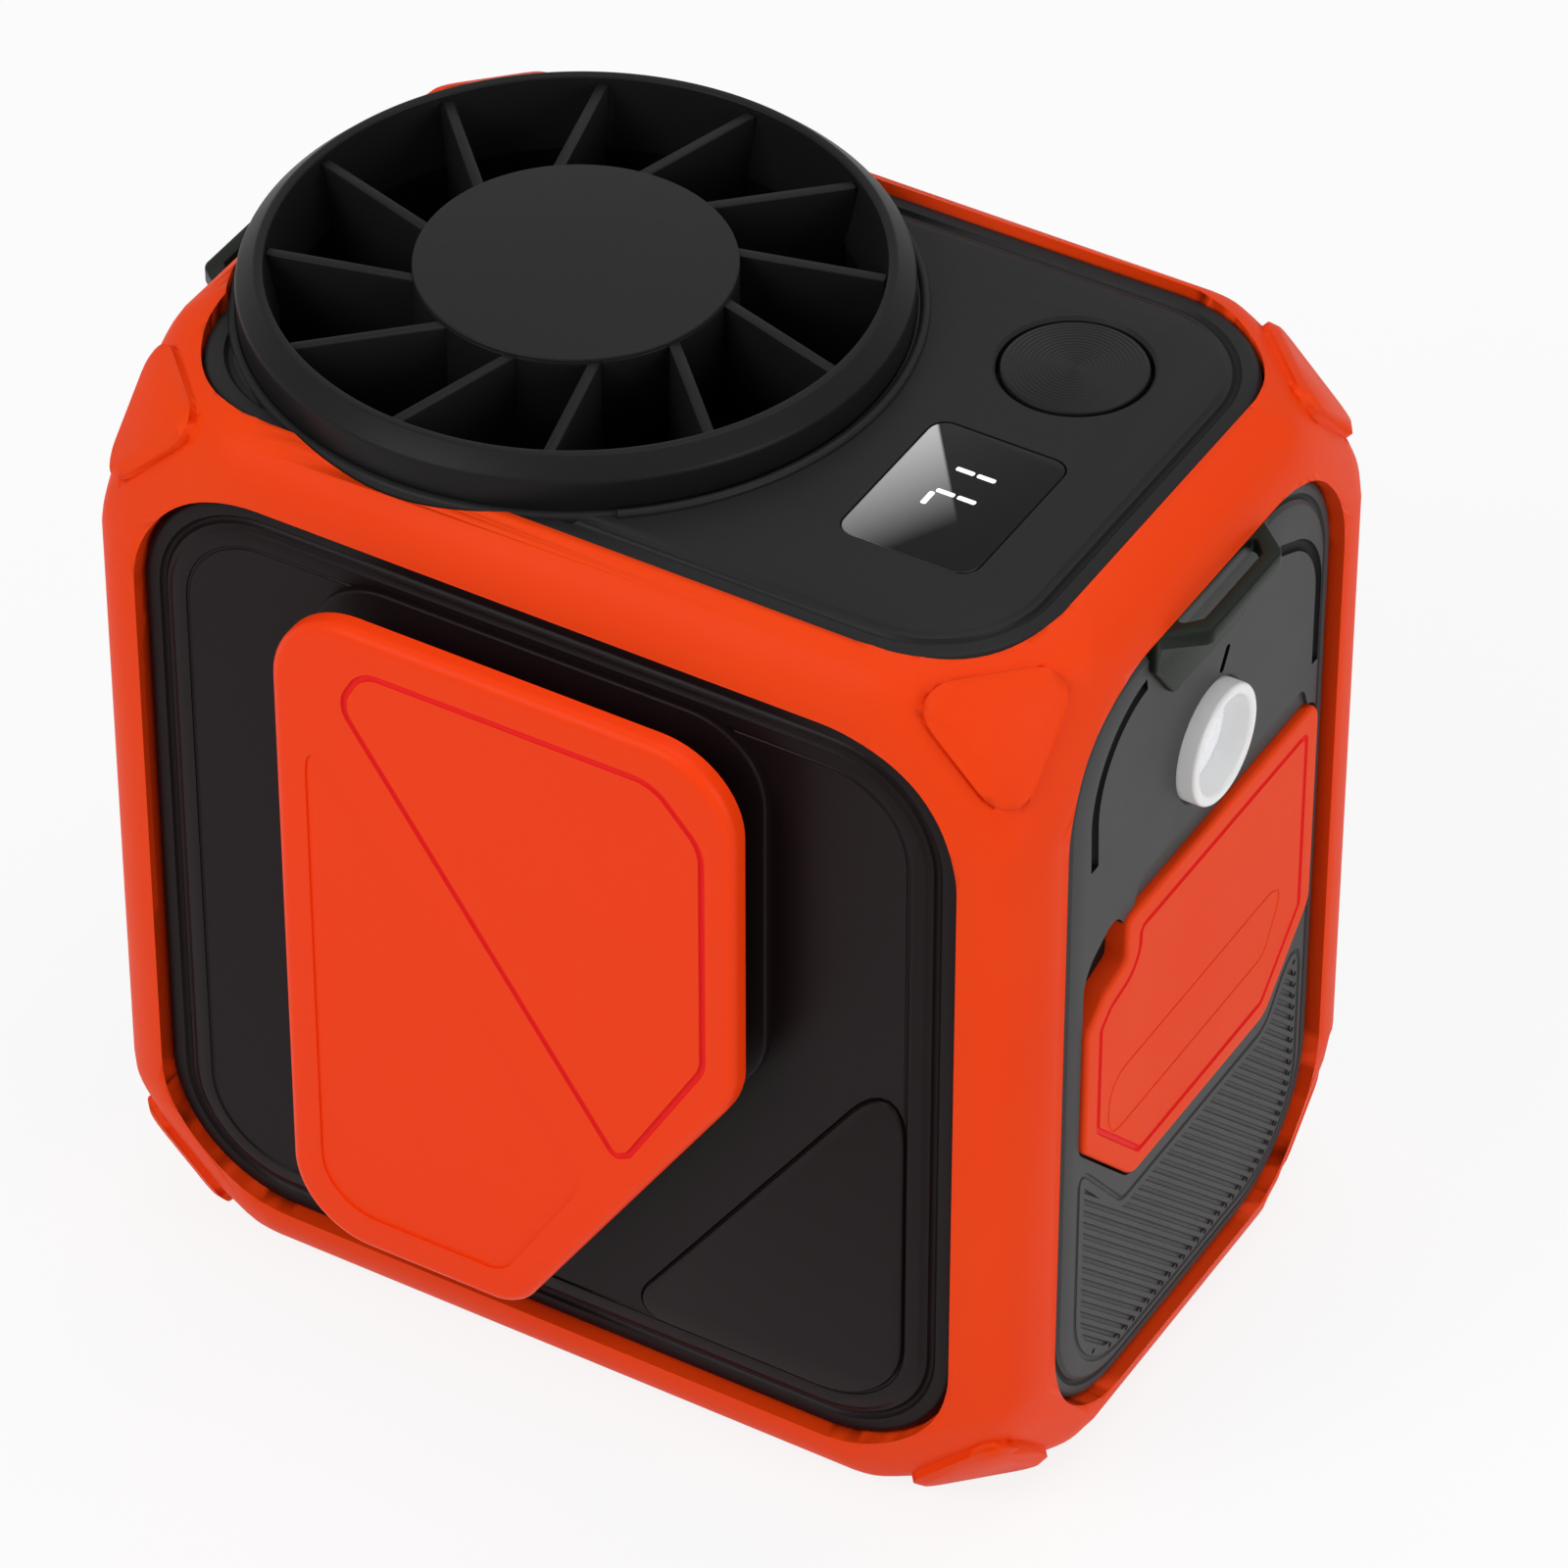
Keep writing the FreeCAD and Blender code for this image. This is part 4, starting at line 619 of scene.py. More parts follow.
def inset(corners, gap):
    """The outline moved inwards by a gap (outwards if negative), its arcs kept concentric."""
    count = len(corners)
    area = sum(corners[i - 1][0] * corners[i][1] - corners[i][0] * corners[i - 1][1] for i in range(count))
    turn = 1 if area > 0 else -1
    lines = []
    for index in range(count):
        start = Vector(corners[index][:2])
        along = (Vector(corners[(index + 1) % count][:2]) - start).normalized()
        lines.append((start + Vector((-along.y, along.x)) * turn * gap, along))
    moved = []
    for index in range(count):
        point, along = lines[index - 1]
        other, ahead = lines[index]
        cross = along.cross(ahead)
        corner = point + along * ((other - point).cross(ahead) / cross)
        radius = corners[index][2]
        if radius > 0:
            radius = max(radius - gap if cross * turn > 0 else radius + gap, 0.05)
        moved.append((corner.x, corner.y, radius))
    return moved


def outline_points(corners, level, gap=0.0):
    """Points of a rounded outline, moved inwards by a gap."""
    bm = bmesh.new()
    face = outline_face(bm, inset(corners, gap), level)
    points = [tuple(loop.vert.co) for loop in face.loops]
    bm.free()
    return points


def groove(corners, level, radius, gap=0.0):
    """Cutter for a half-round groove along an outline, lifted so that none of its edges lies in the face."""
    return bead("groove", outline_points(corners, level + CUT_LIFT, gap), radius, True)


def bake_shape(piece):
    """Turn a piece's modifiers into its mesh."""
    graph = bpy.context.evaluated_depsgraph_get()
    mesh = bpy.data.meshes.new_from_object(piece.evaluated_get(graph))
    piece.modifiers.clear()
    piece.data = mesh


def combine(piece, others, operation="DIFFERENCE"):
    """Cut others out of a piece, or join them to it, and remove them."""
    for other in others:
        modifier = piece.modifiers.new("shape", "BOOLEAN")
        modifier.operation = operation
        modifier.solver = "EXACT"
        modifier.material_mode = "TRANSFER"
        modifier.object = other
    bake_shape(piece)
    for other in others:
        bpy.data.objects.remove(other)
    return piece


def merge_objects(name, pieces):
    """One object that holds the meshes of several."""
    bm = bmesh.new()
    for piece in pieces:
        bm.from_mesh(piece.data)
        bpy.data.objects.remove(piece)
    return new_object(name, bm)


def soften(piece, width, segments=2, angle=32.0):
    """Round the sharp edges of a piece a little."""
    modifier = piece.modifiers.new("edges", "BEVEL")
    modifier.width = width
    modifier.segments = segments
    modifier.limit_method = "ANGLE"
    modifier.angle_limit = math.radians(angle)
    modifier.use_clamp_overlap = True
    modifier = piece.modifiers.new("even", "WEIGHTED_NORMAL")
    modifier.keep_sharp = True
    bake_shape(piece)


def tinted(piece, name):
    """Give a piece a finish; as a cutter it leaves that finish on the faces that it makes."""
    piece.data.materials.append(finish(name))
    return piece


def line_radius():
    """Radius of the red lines in the clip and the flap: grooves whose deeper red is a painted shade, standing
    in for light bounced inside them.
    """
    return bpy.context.scene.fan_sizes.groove_width / MM / 2


def set_piece(piece, side, body, material, replaced=(), angle=38.0):
    """Put a finished piece in place, give it its finish and let it ride on a body."""
    piece.data.transform(side_matrix(side))
    piece.data.update()
    piece.data.shade_smooth()
    piece.data.set_sharp_from_angle(angle=math.radians(angle))
    if not any(piece.data.materials):
        piece.data.materials.clear()
        piece.data.materials.append(finish(material))
    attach(piece, body)
    if replaced:
        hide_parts(*replaced)
    return piece


def rectangle(half_x, half_y, radius, x=0.0, y=0.0):
    """Corners of a rounded rectangle."""
    return [(x - half_x, y - half_y, radius), (x + half_x, y - half_y, radius),
            (x + half_x, y + half_y, radius), (x - half_x, y + half_y, radius)]


def window(side, gap=PANEL_GAP):
    """Outline of the panel in one window of the cage."""
    half_x = {"right": HALF_DEPTH, "left": HALF_DEPTH}.get(side, HALF_WIDTH) - WINDOW_RIMS[side][0]
    half_y = {"top": HALF_DEPTH, "bottom": HALF_DEPTH}.get(side, HALF_HEIGHT) - WINDOW_RIMS[side][1]
    return rectangle(half_x - gap, half_y - gap, WINDOW_ROUND - gap)


# The pieces

def soft_block(name, gap, facet, rounding):
    """Body block moved inwards by a gap, with a facet across each corner and its edges rounded."""
    bm = bmesh.new()
    bmesh.ops.create_cube(bm, size=1.0)
    bmesh.ops.scale(bm, verts=bm.verts, vec=[size - 2 * gap for size in (BODY_WIDTH, BODY_DEPTH, BODY_HEIGHT)])
    bmesh.ops.translate(bm, verts=bm.verts, vec=(0, 0, HALF_HEIGHT))
    bmesh.ops.bevel(bm, geom=bm.verts[:], offset=facet, segments=1, profile=0.5, material=-1,
                    affect="VERTICES", clamp_overlap=False)
    weights = bm.edges.layers.float.new("bevel_weight_edge")
    for edge in bm.edges:
        edge[weights] = 1.0 if edge.calc_length() > 1.5 * facet else FACET_SOFTNESS
    solid = new_object(name, bm)
    if rounding:
        modifier = solid.modifiers.new("round", "BEVEL")
        modifier.limit_method = "WEIGHT"
        modifier.width = rounding
        modifier.segments = 10
        bake_shape(solid)
    return solid


def corner_pads():
    """Raised rounded triangles across the eight corners, one apex along each body edge."""
    corners = [(PAD_REACH * math.cos(math.radians(angle)), PAD_REACH * math.sin(math.radians(angle)), PAD_ROUND)
               for angle in (90, 210, 330)]
    pads = []
    for sx in (-1, 1):
        for sy in (-1, 1):
            for sz in (-1, 1):
                out = Vector((sx, sy, sz)).normalized()
                up = (Vector((0, 0, -sz)) - out * Vector((0, 0, -sz)).dot(out)).normalized()
                foot = Vector((sx * HALF_WIDTH, sy * HALF_DEPTH, HALF_HEIGHT + sz * HALF_HEIGHT))
                foot -= out * CORNER_FACET / math.sqrt(3)
                pad = plate("pad", corners, -3.0, 0.02, [(PAD_BORDER, PAD_RISE)])
                turn = Matrix((up.cross(out), up, out)).transposed().to_4x4()
                pad.data.transform(Matrix.Translation(foot) @ turn)
                pads.append(pad)
    return pads


def make_cage():
    """Rubber cage: soft block with corner pads, hollowed to the shell and open at its six windows."""
    cage = soft_block("rubber_cage", 0, CORNER_FACET, EDGE_ROUND)
    for pad in corner_pads():
        combine(cage, [pad], "UNION")
    combine(cage, [soft_block("hollow", CAGE_WALL, HOLLOW_FACET, 0)])
    for side in WINDOW_RIMS:
        opening = plate("opening", window(side, 0), -7, 3)
        opening.data.transform(side_matrix("body").inverted() @ side_matrix(side))
        combine(cage, [opening])
    wide = COLLAR_FOOT + PANEL_GAP
    narrow = THROAT - 0.3
    seat = turned("seat", [(0, 88.0, 0), (narrow, 88.0, 0), (narrow, SHELL_TOP, 0), (wide, SHELL_TOP, 0),
                           (wide, 106, 0), (0, 106, 0)], FAN_X, 0, 160)
    combine(cage, [seat])
    soften(cage, bpy.context.scene.fan_sizes.rim_round / MM, 3, 30)
    set_piece(cage, "body", "housing", "orange_rubber", ["bumper_cage"], 45)


def rolled_rim(flat, furrow, step):
    """Profile of a panel's border: rounded edge, narrow flat, dark groove and the field's soft step."""
    soft_step = [(step, 0.1), (0.15, 0.15), (0.15, 0.05)]
    return quarter_round(PANEL_ROUND) + [(flat, 0.0)] + dip(furrow, FURROW_DEPTH) + soft_step


def panel_plate(name, side):
    """Panel that fills one window, with its rolled border, narrower on the two side plates."""
    rim = rolled_rim(0.5, 0.6, 0.2) if side in ("right", "left") else rolled_rim(1.0, 0.9, 0.5)
    return plate(name, window(side), -CAGE_WALL, PANEL_LEVEL - PANEL_ROUND, rim)


def field_line(side):
    """Thin groove cutter that follows a window's outline."""
    return groove(window(side), FIELD_LEVEL, 0.22, 5.2)


def make_front_panel():
    """Front panel: contour line near its corners and the raised triangle below the clip."""
    panel = panel_plate("front_cover", "front")
    border = 5.45
    low = WINDOW_RIMS["front"][1] + border - HALF_HEIGHT
    right = HALF_WIDTH - WINDOW_RIMS["front"][0] - border
    corners = [(8.0, low, 2.5), (right, low, 9.0), (right, 6.0, 3.0)]
    raised = plate("triangle", corners, -1.5, FIELD_LEVEL + 0.05, quarter_round(0.25, 3))
    combine(panel, [field_line("front")])
    combine(panel, [groove(corners, FIELD_LEVEL, 0.3)])
    combine(panel, [raised], "UNION")
    set_piece(panel, "front", "housing", "front_plastic", ["front_panel"])


def make_base_plate():
    """Base plate with its counterbored screw holes, left plain."""
    panel = plate("base_cover", window("bottom"), -CAGE_WALL, -0.6, quarter_round(0.6))
    x, y = BASE_SCREW_PLACE
    combine(panel, [turned("hole", BASE_SCREW_HOLE, sx * x, sy * y, 32) for sx in (-1, 1) for sy in (-1, 1)])
    set_piece(panel, "bottom", "housing", "black_plastic", ["bottom_panel"])


def arc_points(radius, start, end, level, x=0.0, y=0.0, steps=36):
    """Points along an arc about (x, y), from one angle in degrees to another."""
    points = []
    for index in range(steps + 1):
        angle = math.radians(start + (end - start) * index / steps)
        points.append((x + radius * math.cos(angle), y + radius * math.sin(angle), level))
    return points


def make_top_panel():
    """Top plate with the outlet's foot, the rib beside it, the key's recess and the display's opening."""
    panel = panel_plate("top_cover", "top")
    foot_low = 0.1 - CAGE_WALL
    foot_top = FIELD_LEVEL + 0.15
    foot = turned("foot", [(0, foot_low, 0), (COLLAR_FOOT, foot_low, 0), (COLLAR_FOOT, foot_top, 0.5),
                           (0, foot_top, 0)], FAN_X, 0, 160)
    combine(panel, [foot], "UNION")
    rib = bead("rib", arc_points(COLLAR_FOOT, -52, 50, FIELD_LEVEL + 0.1, FAN_X), 0.5, False)
    combine(panel, [rib], "UNION")
    inner = COLLAR_LIP + 0.1
    outer = COLLAR_WALL + 0.1
    throat = turned("throat", [(0, -5, 0), (inner, -5, 0), (inner, -1.25, 0), (outer, -1.25, 0),
                               (outer, 2, 0), (0, 2, 0)], FAN_X, 0, 160)
    rim = BUTTON_HOLE + 0.45
    recess = turned("recess", [(0, -5, 0), (BUTTON_HOLE, -5, 0), (BUTTON_HOLE, -1.2, 0), (rim, -0.8, 0),
                               (rim, 2, 0), (0, 2, 0)], *BUTTON_PLACE, 90)
    glass_room = [half + 0.12 for half in DISPLAY_HALF]
    opening = plate("opening", rectangle(*glass_room, 1.9, *DISPLAY_PLACE), -5, 2)
    for cutter in (recess, opening, throat):
        combine(panel, [cutter])
    set_piece(panel, "top", "housing", "grey_plastic", ["top_panel"])


def straight_vane(index):
    """One guide vane: a flat blade beside the axis, deep inside the throat and wider at its top."""
    root = HUB - HUB_WALL - 0.2
    reach = math.sqrt(DUCT_MOUTH ** 2 - VANE_SWEEP ** 2)
    wide = math.sqrt((THROAT - 0.05) ** 2 - VANE_SWEEP ** 2)
    low = VANE_TOP - VANE_DEPTH
    corners = [(root, low, 0), (reach, low, 0), (reach, SHELL_TOP + 0.1, 0), (wide - 0.3, SHELL_TOP + 1.3, 0),
               (wide, VANE_TOP, 0), (root, VANE_TOP, 0)]
    vane = plate("vane", corners, -VANE_THICKNESS / 2, VANE_THICKNESS / 2)
    soften(vane, 0.16)
    turn = math.radians(360 / VANE_COUNT * index + VANE_START) - math.asin(VANE_SWEEP / HUB)
    vane.data.transform(Matrix.Translation((FAN_X, 0, 0)) @ Matrix.Rotation(turn, 4, "Z")
                        @ Matrix.Translation((0, VANE_SWEEP, 0)) @ Matrix.Rotation(math.pi / 2, 4, "X"))
    return vane


def make_outlet():
    """Round outlet in one moulding: bevelled collar, hub cup, bearing tube and guide vanes."""
    step = SHELL_TOP + 2.05
    collar = turned("outlet", [(DUCT_MOUTH + 0.1, SHELL_TOP, 0), (COLLAR_LIP, SHELL_TOP, 0),
                               (COLLAR_LIP, step, 0), (COLLAR_WALL, step, 0.2),
                               (COLLAR_WALL, LIP_TOP - 1.7, 0.7), (COLLAR_LIP + 0.2, LIP_TOP, 0.4),
                               (THROAT + 0.05, LIP_TOP, 0.3), (THROAT, LIP_TOP - 1.1, 0)], FAN_X, 0, 192)
    inner = HUB - HUB_WALL
    cup = turned("cup", [(TUBE_BORE, TUBE_FOOT, 0), (TUBE_RADIUS, TUBE_FOOT, 0), (TUBE_RADIUS, HUB_FLOOR, 0),
                         (HUB, HUB_FLOOR, 0), (HUB, VANE_TOP, 0.2), (inner, VANE_TOP, 0),
                         (inner, HUB_FLOOR_TOP, 0), (TUBE_RADIUS, HUB_FLOOR_TOP, 0),
                         (TUBE_RADIUS, TUBE_TOP, 0), (TUBE_BORE, TUBE_TOP, 0)], FAN_X, 0, 128)
    vanes = [straight_vane(index) for index in range(VANE_COUNT)]
    combine(collar, [cup, merge_objects("vanes", vanes)], "UNION")
    set_piece(collar, "body", "housing", "outlet_plastic", ["outlet_grille"])


def make_hub_cap():
    """Flat disc over the hub with a fine rounded edge."""
    low = VANE_TOP - 1.5
    top = VANE_TOP + 0.45
    plug = HUB - HUB_WALL - 0.1
    cap = turned("hub_disc", [(0, low, 0), (plug, low, 0), (plug, VANE_TOP, 0), (HUB, VANE_TOP, 0),
                              (HUB, top, 0.25), (0, top, 0)], FAN_X, 0, 160)
    set_piece(cap, "body", "housing", "grey_plastic", ["hub_cap"])


def make_back_panel():
    """Rear plate with the slanted slots of the air intake."""
    panel = panel_plate("back_cover", "back")
    area = plate("area", rectangle(*INTAKE_HALF, INTAKE_ROUND, *INTAKE_PLACE), -6, 2)
    bars = []
    for step in range(-12, 13):
        slot = bar("slot", (-80, 80), (-SLOT_HALF, SLOT_HALF), (-7, 3))
        slot.data.transform(Matrix.Translation((*INTAKE_PLACE, 0)) @ Matrix.Rotation(math.radians(45), 4, "Z")
                            @ Matrix.Translation((0, step * SLOT_PITCH, 0)))
        bars.append(slot)
    combine(area, [merge_objects("slots", bars)], "INTERSECT")
    combine(panel, [area])
    combine(panel, [field_line("back")])
    set_piece(panel, "back", "housing", "front_plastic", ["back_panel"])


def rib_levels():
    """The sums of across and up that the slanted grooves keep."""
    return [RIB_START + step * RIB_PITCH * math.sqrt(2) for step in range(-40, 41)]


def rib_cutter():
    """Slanted half-round grooves over the rib field."""
    wires = []
    height = FIELD_LEVEL + CUT_LIFT
    for level in rib_levels():
        if RIB_RANGE[0] < level < RIB_RANGE[1]:
            wires.append(bead("groove", [(-30, level + 30, height), (40, level - 40, height)], 0.28, False))
    area = plate("area", inset(RIB_CORNERS, 1.1), -3, 1)
    return combine(area, [merge_objects("grooves", wires)], "INTERSECT")


def rib_dots():
    """Small round sinks at the far ends of the grooves, along the field's lower and right edge."""
    border = outline_points(RIB_CORNERS, 0.0, 0.75)
    profile = [(0, -1.9, 0), (0.3, -1.9, 0), (0.3, 0.2, 0), (0, 0.2, 0)]
    dots = []
    for level in rib_levels():
        ends = []
        for (x0, y0, z0), (x1, y1, z1) in zip(border, border[1:] + border[:1]):
            first = x0 + y0 - level
            second = x1 + y1 - level
            if first * second < 0:
                share = first / (first - second)
                ends.append((x0 + (x1 - x0) * share, y0 + (y1 - y0) * share))
        if ends:
            x, y = max(ends, key=lambda end: end[0] - end[1])
            dots.append(turned("dot", profile, x, y, 9))
    return merge_objects("dots", dots)


def side_plate(side):
    """Side plate with the field of fine ribs below the flap's place, mirrored on the left."""
    panel = tinted(panel_plate(side + "_cover", side), "side_plastic")
    cutters = [rib_cutter(), rib_dots(), groove(RIB_CORNERS, FIELD_LEVEL, 0.3)]
    if side == "left":
        for cutter in cutters:
            cutter.data.transform(Matrix.Scale(-1, 4, (1, 0, 0)))
            cutter.data.flip_normals()
    for cutter in cutters:
        combine(panel, [cutter])
    return panel


def contour_grooves():
    """Cutters for the two grooves that follow the side window's upper corners; their faces are painted deep
    black as painted shade.
    """
    height = FIELD_LEVEL + CUT_LIFT
    left = [(-19.4, 23.6, height), (-19.6, 28.5, height)]
    left += arc_points(10.2, 178, 96, height, -9.4, 28.6, 14)
    right = [(22.9, 18.0, height), (22.9, 26.5, height)]
    right += arc_points(9.0, 2, 62, height, 13.9, 27.0, 12) + [(14.6, 36.6, height)]
    return [bead("contour", left, 0.68, False), bead("contour", right, 0.6, False)]


def make_right_panel():
    """Torch side plate: contour grooves, torch hole, the flap's pocket and the finger recess beside it."""
    panel = side_plate("right")
    ledge = plate("ledge", LEDGE_CORNERS, FIELD_LEVEL - 0.4, 1)
    hole = TORCH_RADIUS + 0.06
    rim = TORCH_RADIUS + 0.4
    torch = turned("torch", [(0, -5, 0), (hole, -5, 0), (hole, -1.15, 0), (rim, -0.8, 0), (rim, 1, 0),
                             (0, 1, 0)], *TORCH_PLACE, 72)
    pocket = plate("pocket", inset(FLAP_CORNERS, -0.3), -5, 1)
    recess = plate("recess", RECESS_CORNERS, -2.6, 1)
    mark = plate("mark", MARK_CORNERS, -2, 1)
    # Painted shade: the finger recess and the contour grooves leave deep black faces, dark as their shade would
    # be; the small mark is cut and painted deep black too
    dark = [tinted(cutter, "deep_black") for cutter in [recess, mark] + contour_grooves()]
    for cutter in [ledge, torch, pocket] + dark:
        combine(panel, [cutter])
    set_piece(panel, "right", "housing", "side_plastic", ["right_panel"])


def make_left_panel():
    """Plain side plate with the same ribs."""
    set_piece(side_plate("left"), "left", "housing", "side_plastic", ["left_panel"])


def pivot_barrel(x0, x1, root):
    """Ear about the clip's pivot with its web towards a level."""
    low = PIVOT_UP - EAR_RADIUS
    high = PIVOT_UP + EAR_RADIUS
    sweep = 180 if root < PIVOT_OUT else -180
    corners = [(low, root, 0), (high, root, 0), (high, PIVOT_OUT, 0)]
    corners += [(PIVOT_UP + y, PIVOT_OUT + z, 0) for y, z, level in
                arc_points(EAR_RADIUS, 0, sweep, 0, steps=16)[1:-1]]
    corners += [(low, PIVOT_OUT, 0)]
    ear = plate("ear", corners, x0, x1)
    ear.data.transform(Matrix(((0, 0, 1, 0), (1, 0, 0, 0), (0, 1, 0, 0), (0, 0, 0, 1))))
    return ear


def pin_hole(radius, reach):
    """Cutter for the pivot pin's hole, as far to each side as its reach."""
    hole = turned("hole", [(0, -reach, 0), (radius, -reach, 0), (radius, reach, 0), (0, reach, 0)], steps=32)
    hole.data.transform(Matrix.Translation((0, PIVOT_UP, PIVOT_OUT)) @ Matrix.Rotation(math.pi / 2, 4, "Y"))
    return hole


def make_clip():
    """Belt clip: rounded plate with its outlined panels, ears about the pin and the belt lip behind."""
    rounding = bpy.context.scene.fan_sizes.clip_round / MM
    clip = plate("waist_clip", CLIP_CORNERS, BELT_GAP, CLIP_FACE - rounding, quarter_round(rounding, 7))
    tinted(clip, "orange_plastic")
    near, far = EAR_LIMITS
    root = BELT_GAP + 0.2
    lip = bar("lip", (-19.4, -4.5), (-34.8, -32.8), (0.3, root), 0.3)
    for part in (pivot_barrel(-far, -near, root), pivot_barrel(near, far, root), lip):
        combine(clip, [tinted(part, "orange_plastic")], "UNION")
    combine(clip, [pin_hole(0.94, 10)])
    # The upper line is a groove whose faces get a painted shade: a deeper red
    combine(clip, [tinted(groove(CLIP_UPPER_LINE, CLIP_FACE, line_radius()), "groove_painted_shade")])
    combine(clip, [plate("sunk", CLIP_LOWER_FIELD, CLIP_FACE - 0.22, CLIP_FACE + 1)])
    set_piece(clip, "front", "clip", "orange_plastic", ["belt_clip"])


def make_clip_base():
    """Flat plate behind the clip with the two lugs that hold the pin."""
    base = plate("clip_seat", inset(CLIP_CORNERS, 0.4), FIELD_LEVEL - 0.1, -0.3, quarter_round(0.3, 3))
    near, far = LUG_LIMITS
    for limits in ((-far, -near), (near, far)):
        combine(base, [pivot_barrel(*limits, -0.2)], "UNION")
    combine(base, [pin_hole(0.92, 14)])
    set_piece(base, "front", "housing", "black_plastic", ["clip_base"])


def make_flap():
    """Rubber port flap with its inner line, label band and the two plugs behind."""
    flap = plate("port_flap", FLAP_CORNERS, FLAP_BACK, FLAP_FACE - 0.5, quarter_round(0.5, 5))
    tinted(flap, "orange_rubber")
    for y, half_y, half_z in PORT_PLUGS:
        plug = bar("plug", (y - half_y, y + half_y), (PORT_LEVEL - half_z, PORT_LEVEL + half_z),
                   (-5.2, FLAP_BACK + 0.3), 0.25)
        combine(flap, [tinted(plug, "orange_rubber")], "UNION")
    inner = [(x, y, max(radius, 0.9)) for x, y, radius in inset(FLAP_CORNERS, 2.5)]
    # The inner line is a groove whose faces get a painted shade: a deeper red
    combine(flap, [tinted(groove(inner, FLAP_FACE, line_radius()), "groove_painted_shade")])
    combine(flap, [groove(FLAP_BAND, FLAP_FACE, 0.16)])
    set_piece(flap, "right", "flap", "orange_rubber", ["port_cover"])


def make_key():
    """Round key with a spun face and its stem."""
    low = -2.1
    face = FIELD_LEVEL - 0.05
    key = turned("power_key", [(0, STEM_LOW, 0), (STEM_RADIUS, STEM_LOW, 0), (STEM_RADIUS, low, 0),
                               (BUTTON_RADIUS, low, 0), (BUTTON_RADIUS, face, 0.35), (0, face, 0)],
                 *BUTTON_PLACE, 128)
    set_piece(key, "top", "button", "key_metal", ["power_button"])


def digit_stroke(x0, x1, y0, y1):
    """One lit bar of a number, with rounded ends."""
    bar_outline = rectangle((x1 - x0) / 2, (y1 - y0) / 2, 0.18, (x0 + x1) / 2, (y0 + y1) / 2)
    return plate("stroke", bar_outline, FIELD_LEVEL - 0.05, FIELD_LEVEL + 0.02)


def make_display():
    """Black display glass with a two-figure number on it."""
    glass = plate("display_glass", rectangle(*DISPLAY_HALF, 1.8, *DISPLAY_PLACE), -2.4, FIELD_LEVEL - 0.2,
                  quarter_round(0.2, 3))
    set_piece(glass, "top", "housing", "display_glass", ["display_window"])
    left = (25.7, 27.55)
    right = (27.85, 29.7)
    upper = (-4.2, -3.65)
    lower = (-7.8, -7.25)
    strokes = [left + upper, right + upper, left + lower, right + lower, (25.3, 25.85, -9.9, -7.95)]
    digits = merge_objects("display_figures", [digit_stroke(*limits) for limits in strokes])
    set_piece(digits, "top", "housing", "digit_white")


def make_torch():
    """Torch: white ring with a faint painted glow that stands proud, and the lens inside it."""
    low = -CAGE_WALL
    lip = 0.9
    ring = turned("torch_collar", [(TORCH_BORE, low, 0), (TORCH_RADIUS, low, 0), (TORCH_RADIUS, lip, 0.4),
                                   (TORCH_BORE, lip, 0.4)], *TORCH_PLACE, 96)
    # The ring's faint emission is a painted glow
    set_piece(ring, "right", "housing", "white_plastic", ["torch_ring"])
    edge = TORCH_BORE - 0.05
    lens = turned("torch_glass", [(0, low, 0), (edge, low, 0), (edge, -1.9, 0.3), (3.0, -1.3, 2.0),
                                  (0, -1.1, 0)], *TORCH_PLACE, 72)
    set_piece(lens, "right", "housing", "clear_lens", ["torch_lens"])


def strap_loop(side):
    """Flat loop for a strap that stands out under the window's edge, on its seat plate."""
    loop = plate("strap_loop_" + side, LOOP_CORNERS, LOOP_LOW, LOOP_LOW + LOOP_THICKNESS)
    combine(loop, [plate("hole", LOOP_HOLE, LOOP_LOW - 1, LOOP_LOW + 3)])
    soften(loop, 0.3)
    loop.data.transform(side_matrix("right").inverted() @ side_matrix("body"))
    seat = plate("seat", LOOP_SEAT, FIELD_LEVEL - 0.05, -0.35, quarter_round(0.25, 3))
    combine(loop, [seat], "UNION")
    set_piece(loop, side, "housing", "strap_plastic", ["strap_bracket_" + side])


NODE_FINISHES = {
    "steel": ["base_screws", "lid_screws", "board_screws", "motor_shaft", "motor_bearings", "clip_pin",
              "clip_spring", "usb_a_socket", "usb_c_socket", "cell_tabs"],
    "black_plastic": ["lower_shell", "upper_shell", "impeller", "switch_plunger", "button_switch",
                      "display_module", "port_bay", "battery_holder"],
    "deep_black": ["fan_duct"],
    "net_black": ["dust_screen"],
    "magnet_steel": ["rotor_ring"],
    "winding_steel": ["motor_stator"],
    "board_green": ["display_board", "main_board"],
    "mirror_finish": ["torch_reflector"],
    "white_plastic": ["torch_light"],
    "cell_wrap": ["battery_cells"],
}


def finish_inner_parts():
    """Give the solids that stay as they are their finishes."""
    for name, nodes in NODE_FINISHES.items():
        for node in nodes:
            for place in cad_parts[node].material_slots:
                place.material = finish(name)


# Stage: floor, light and camera

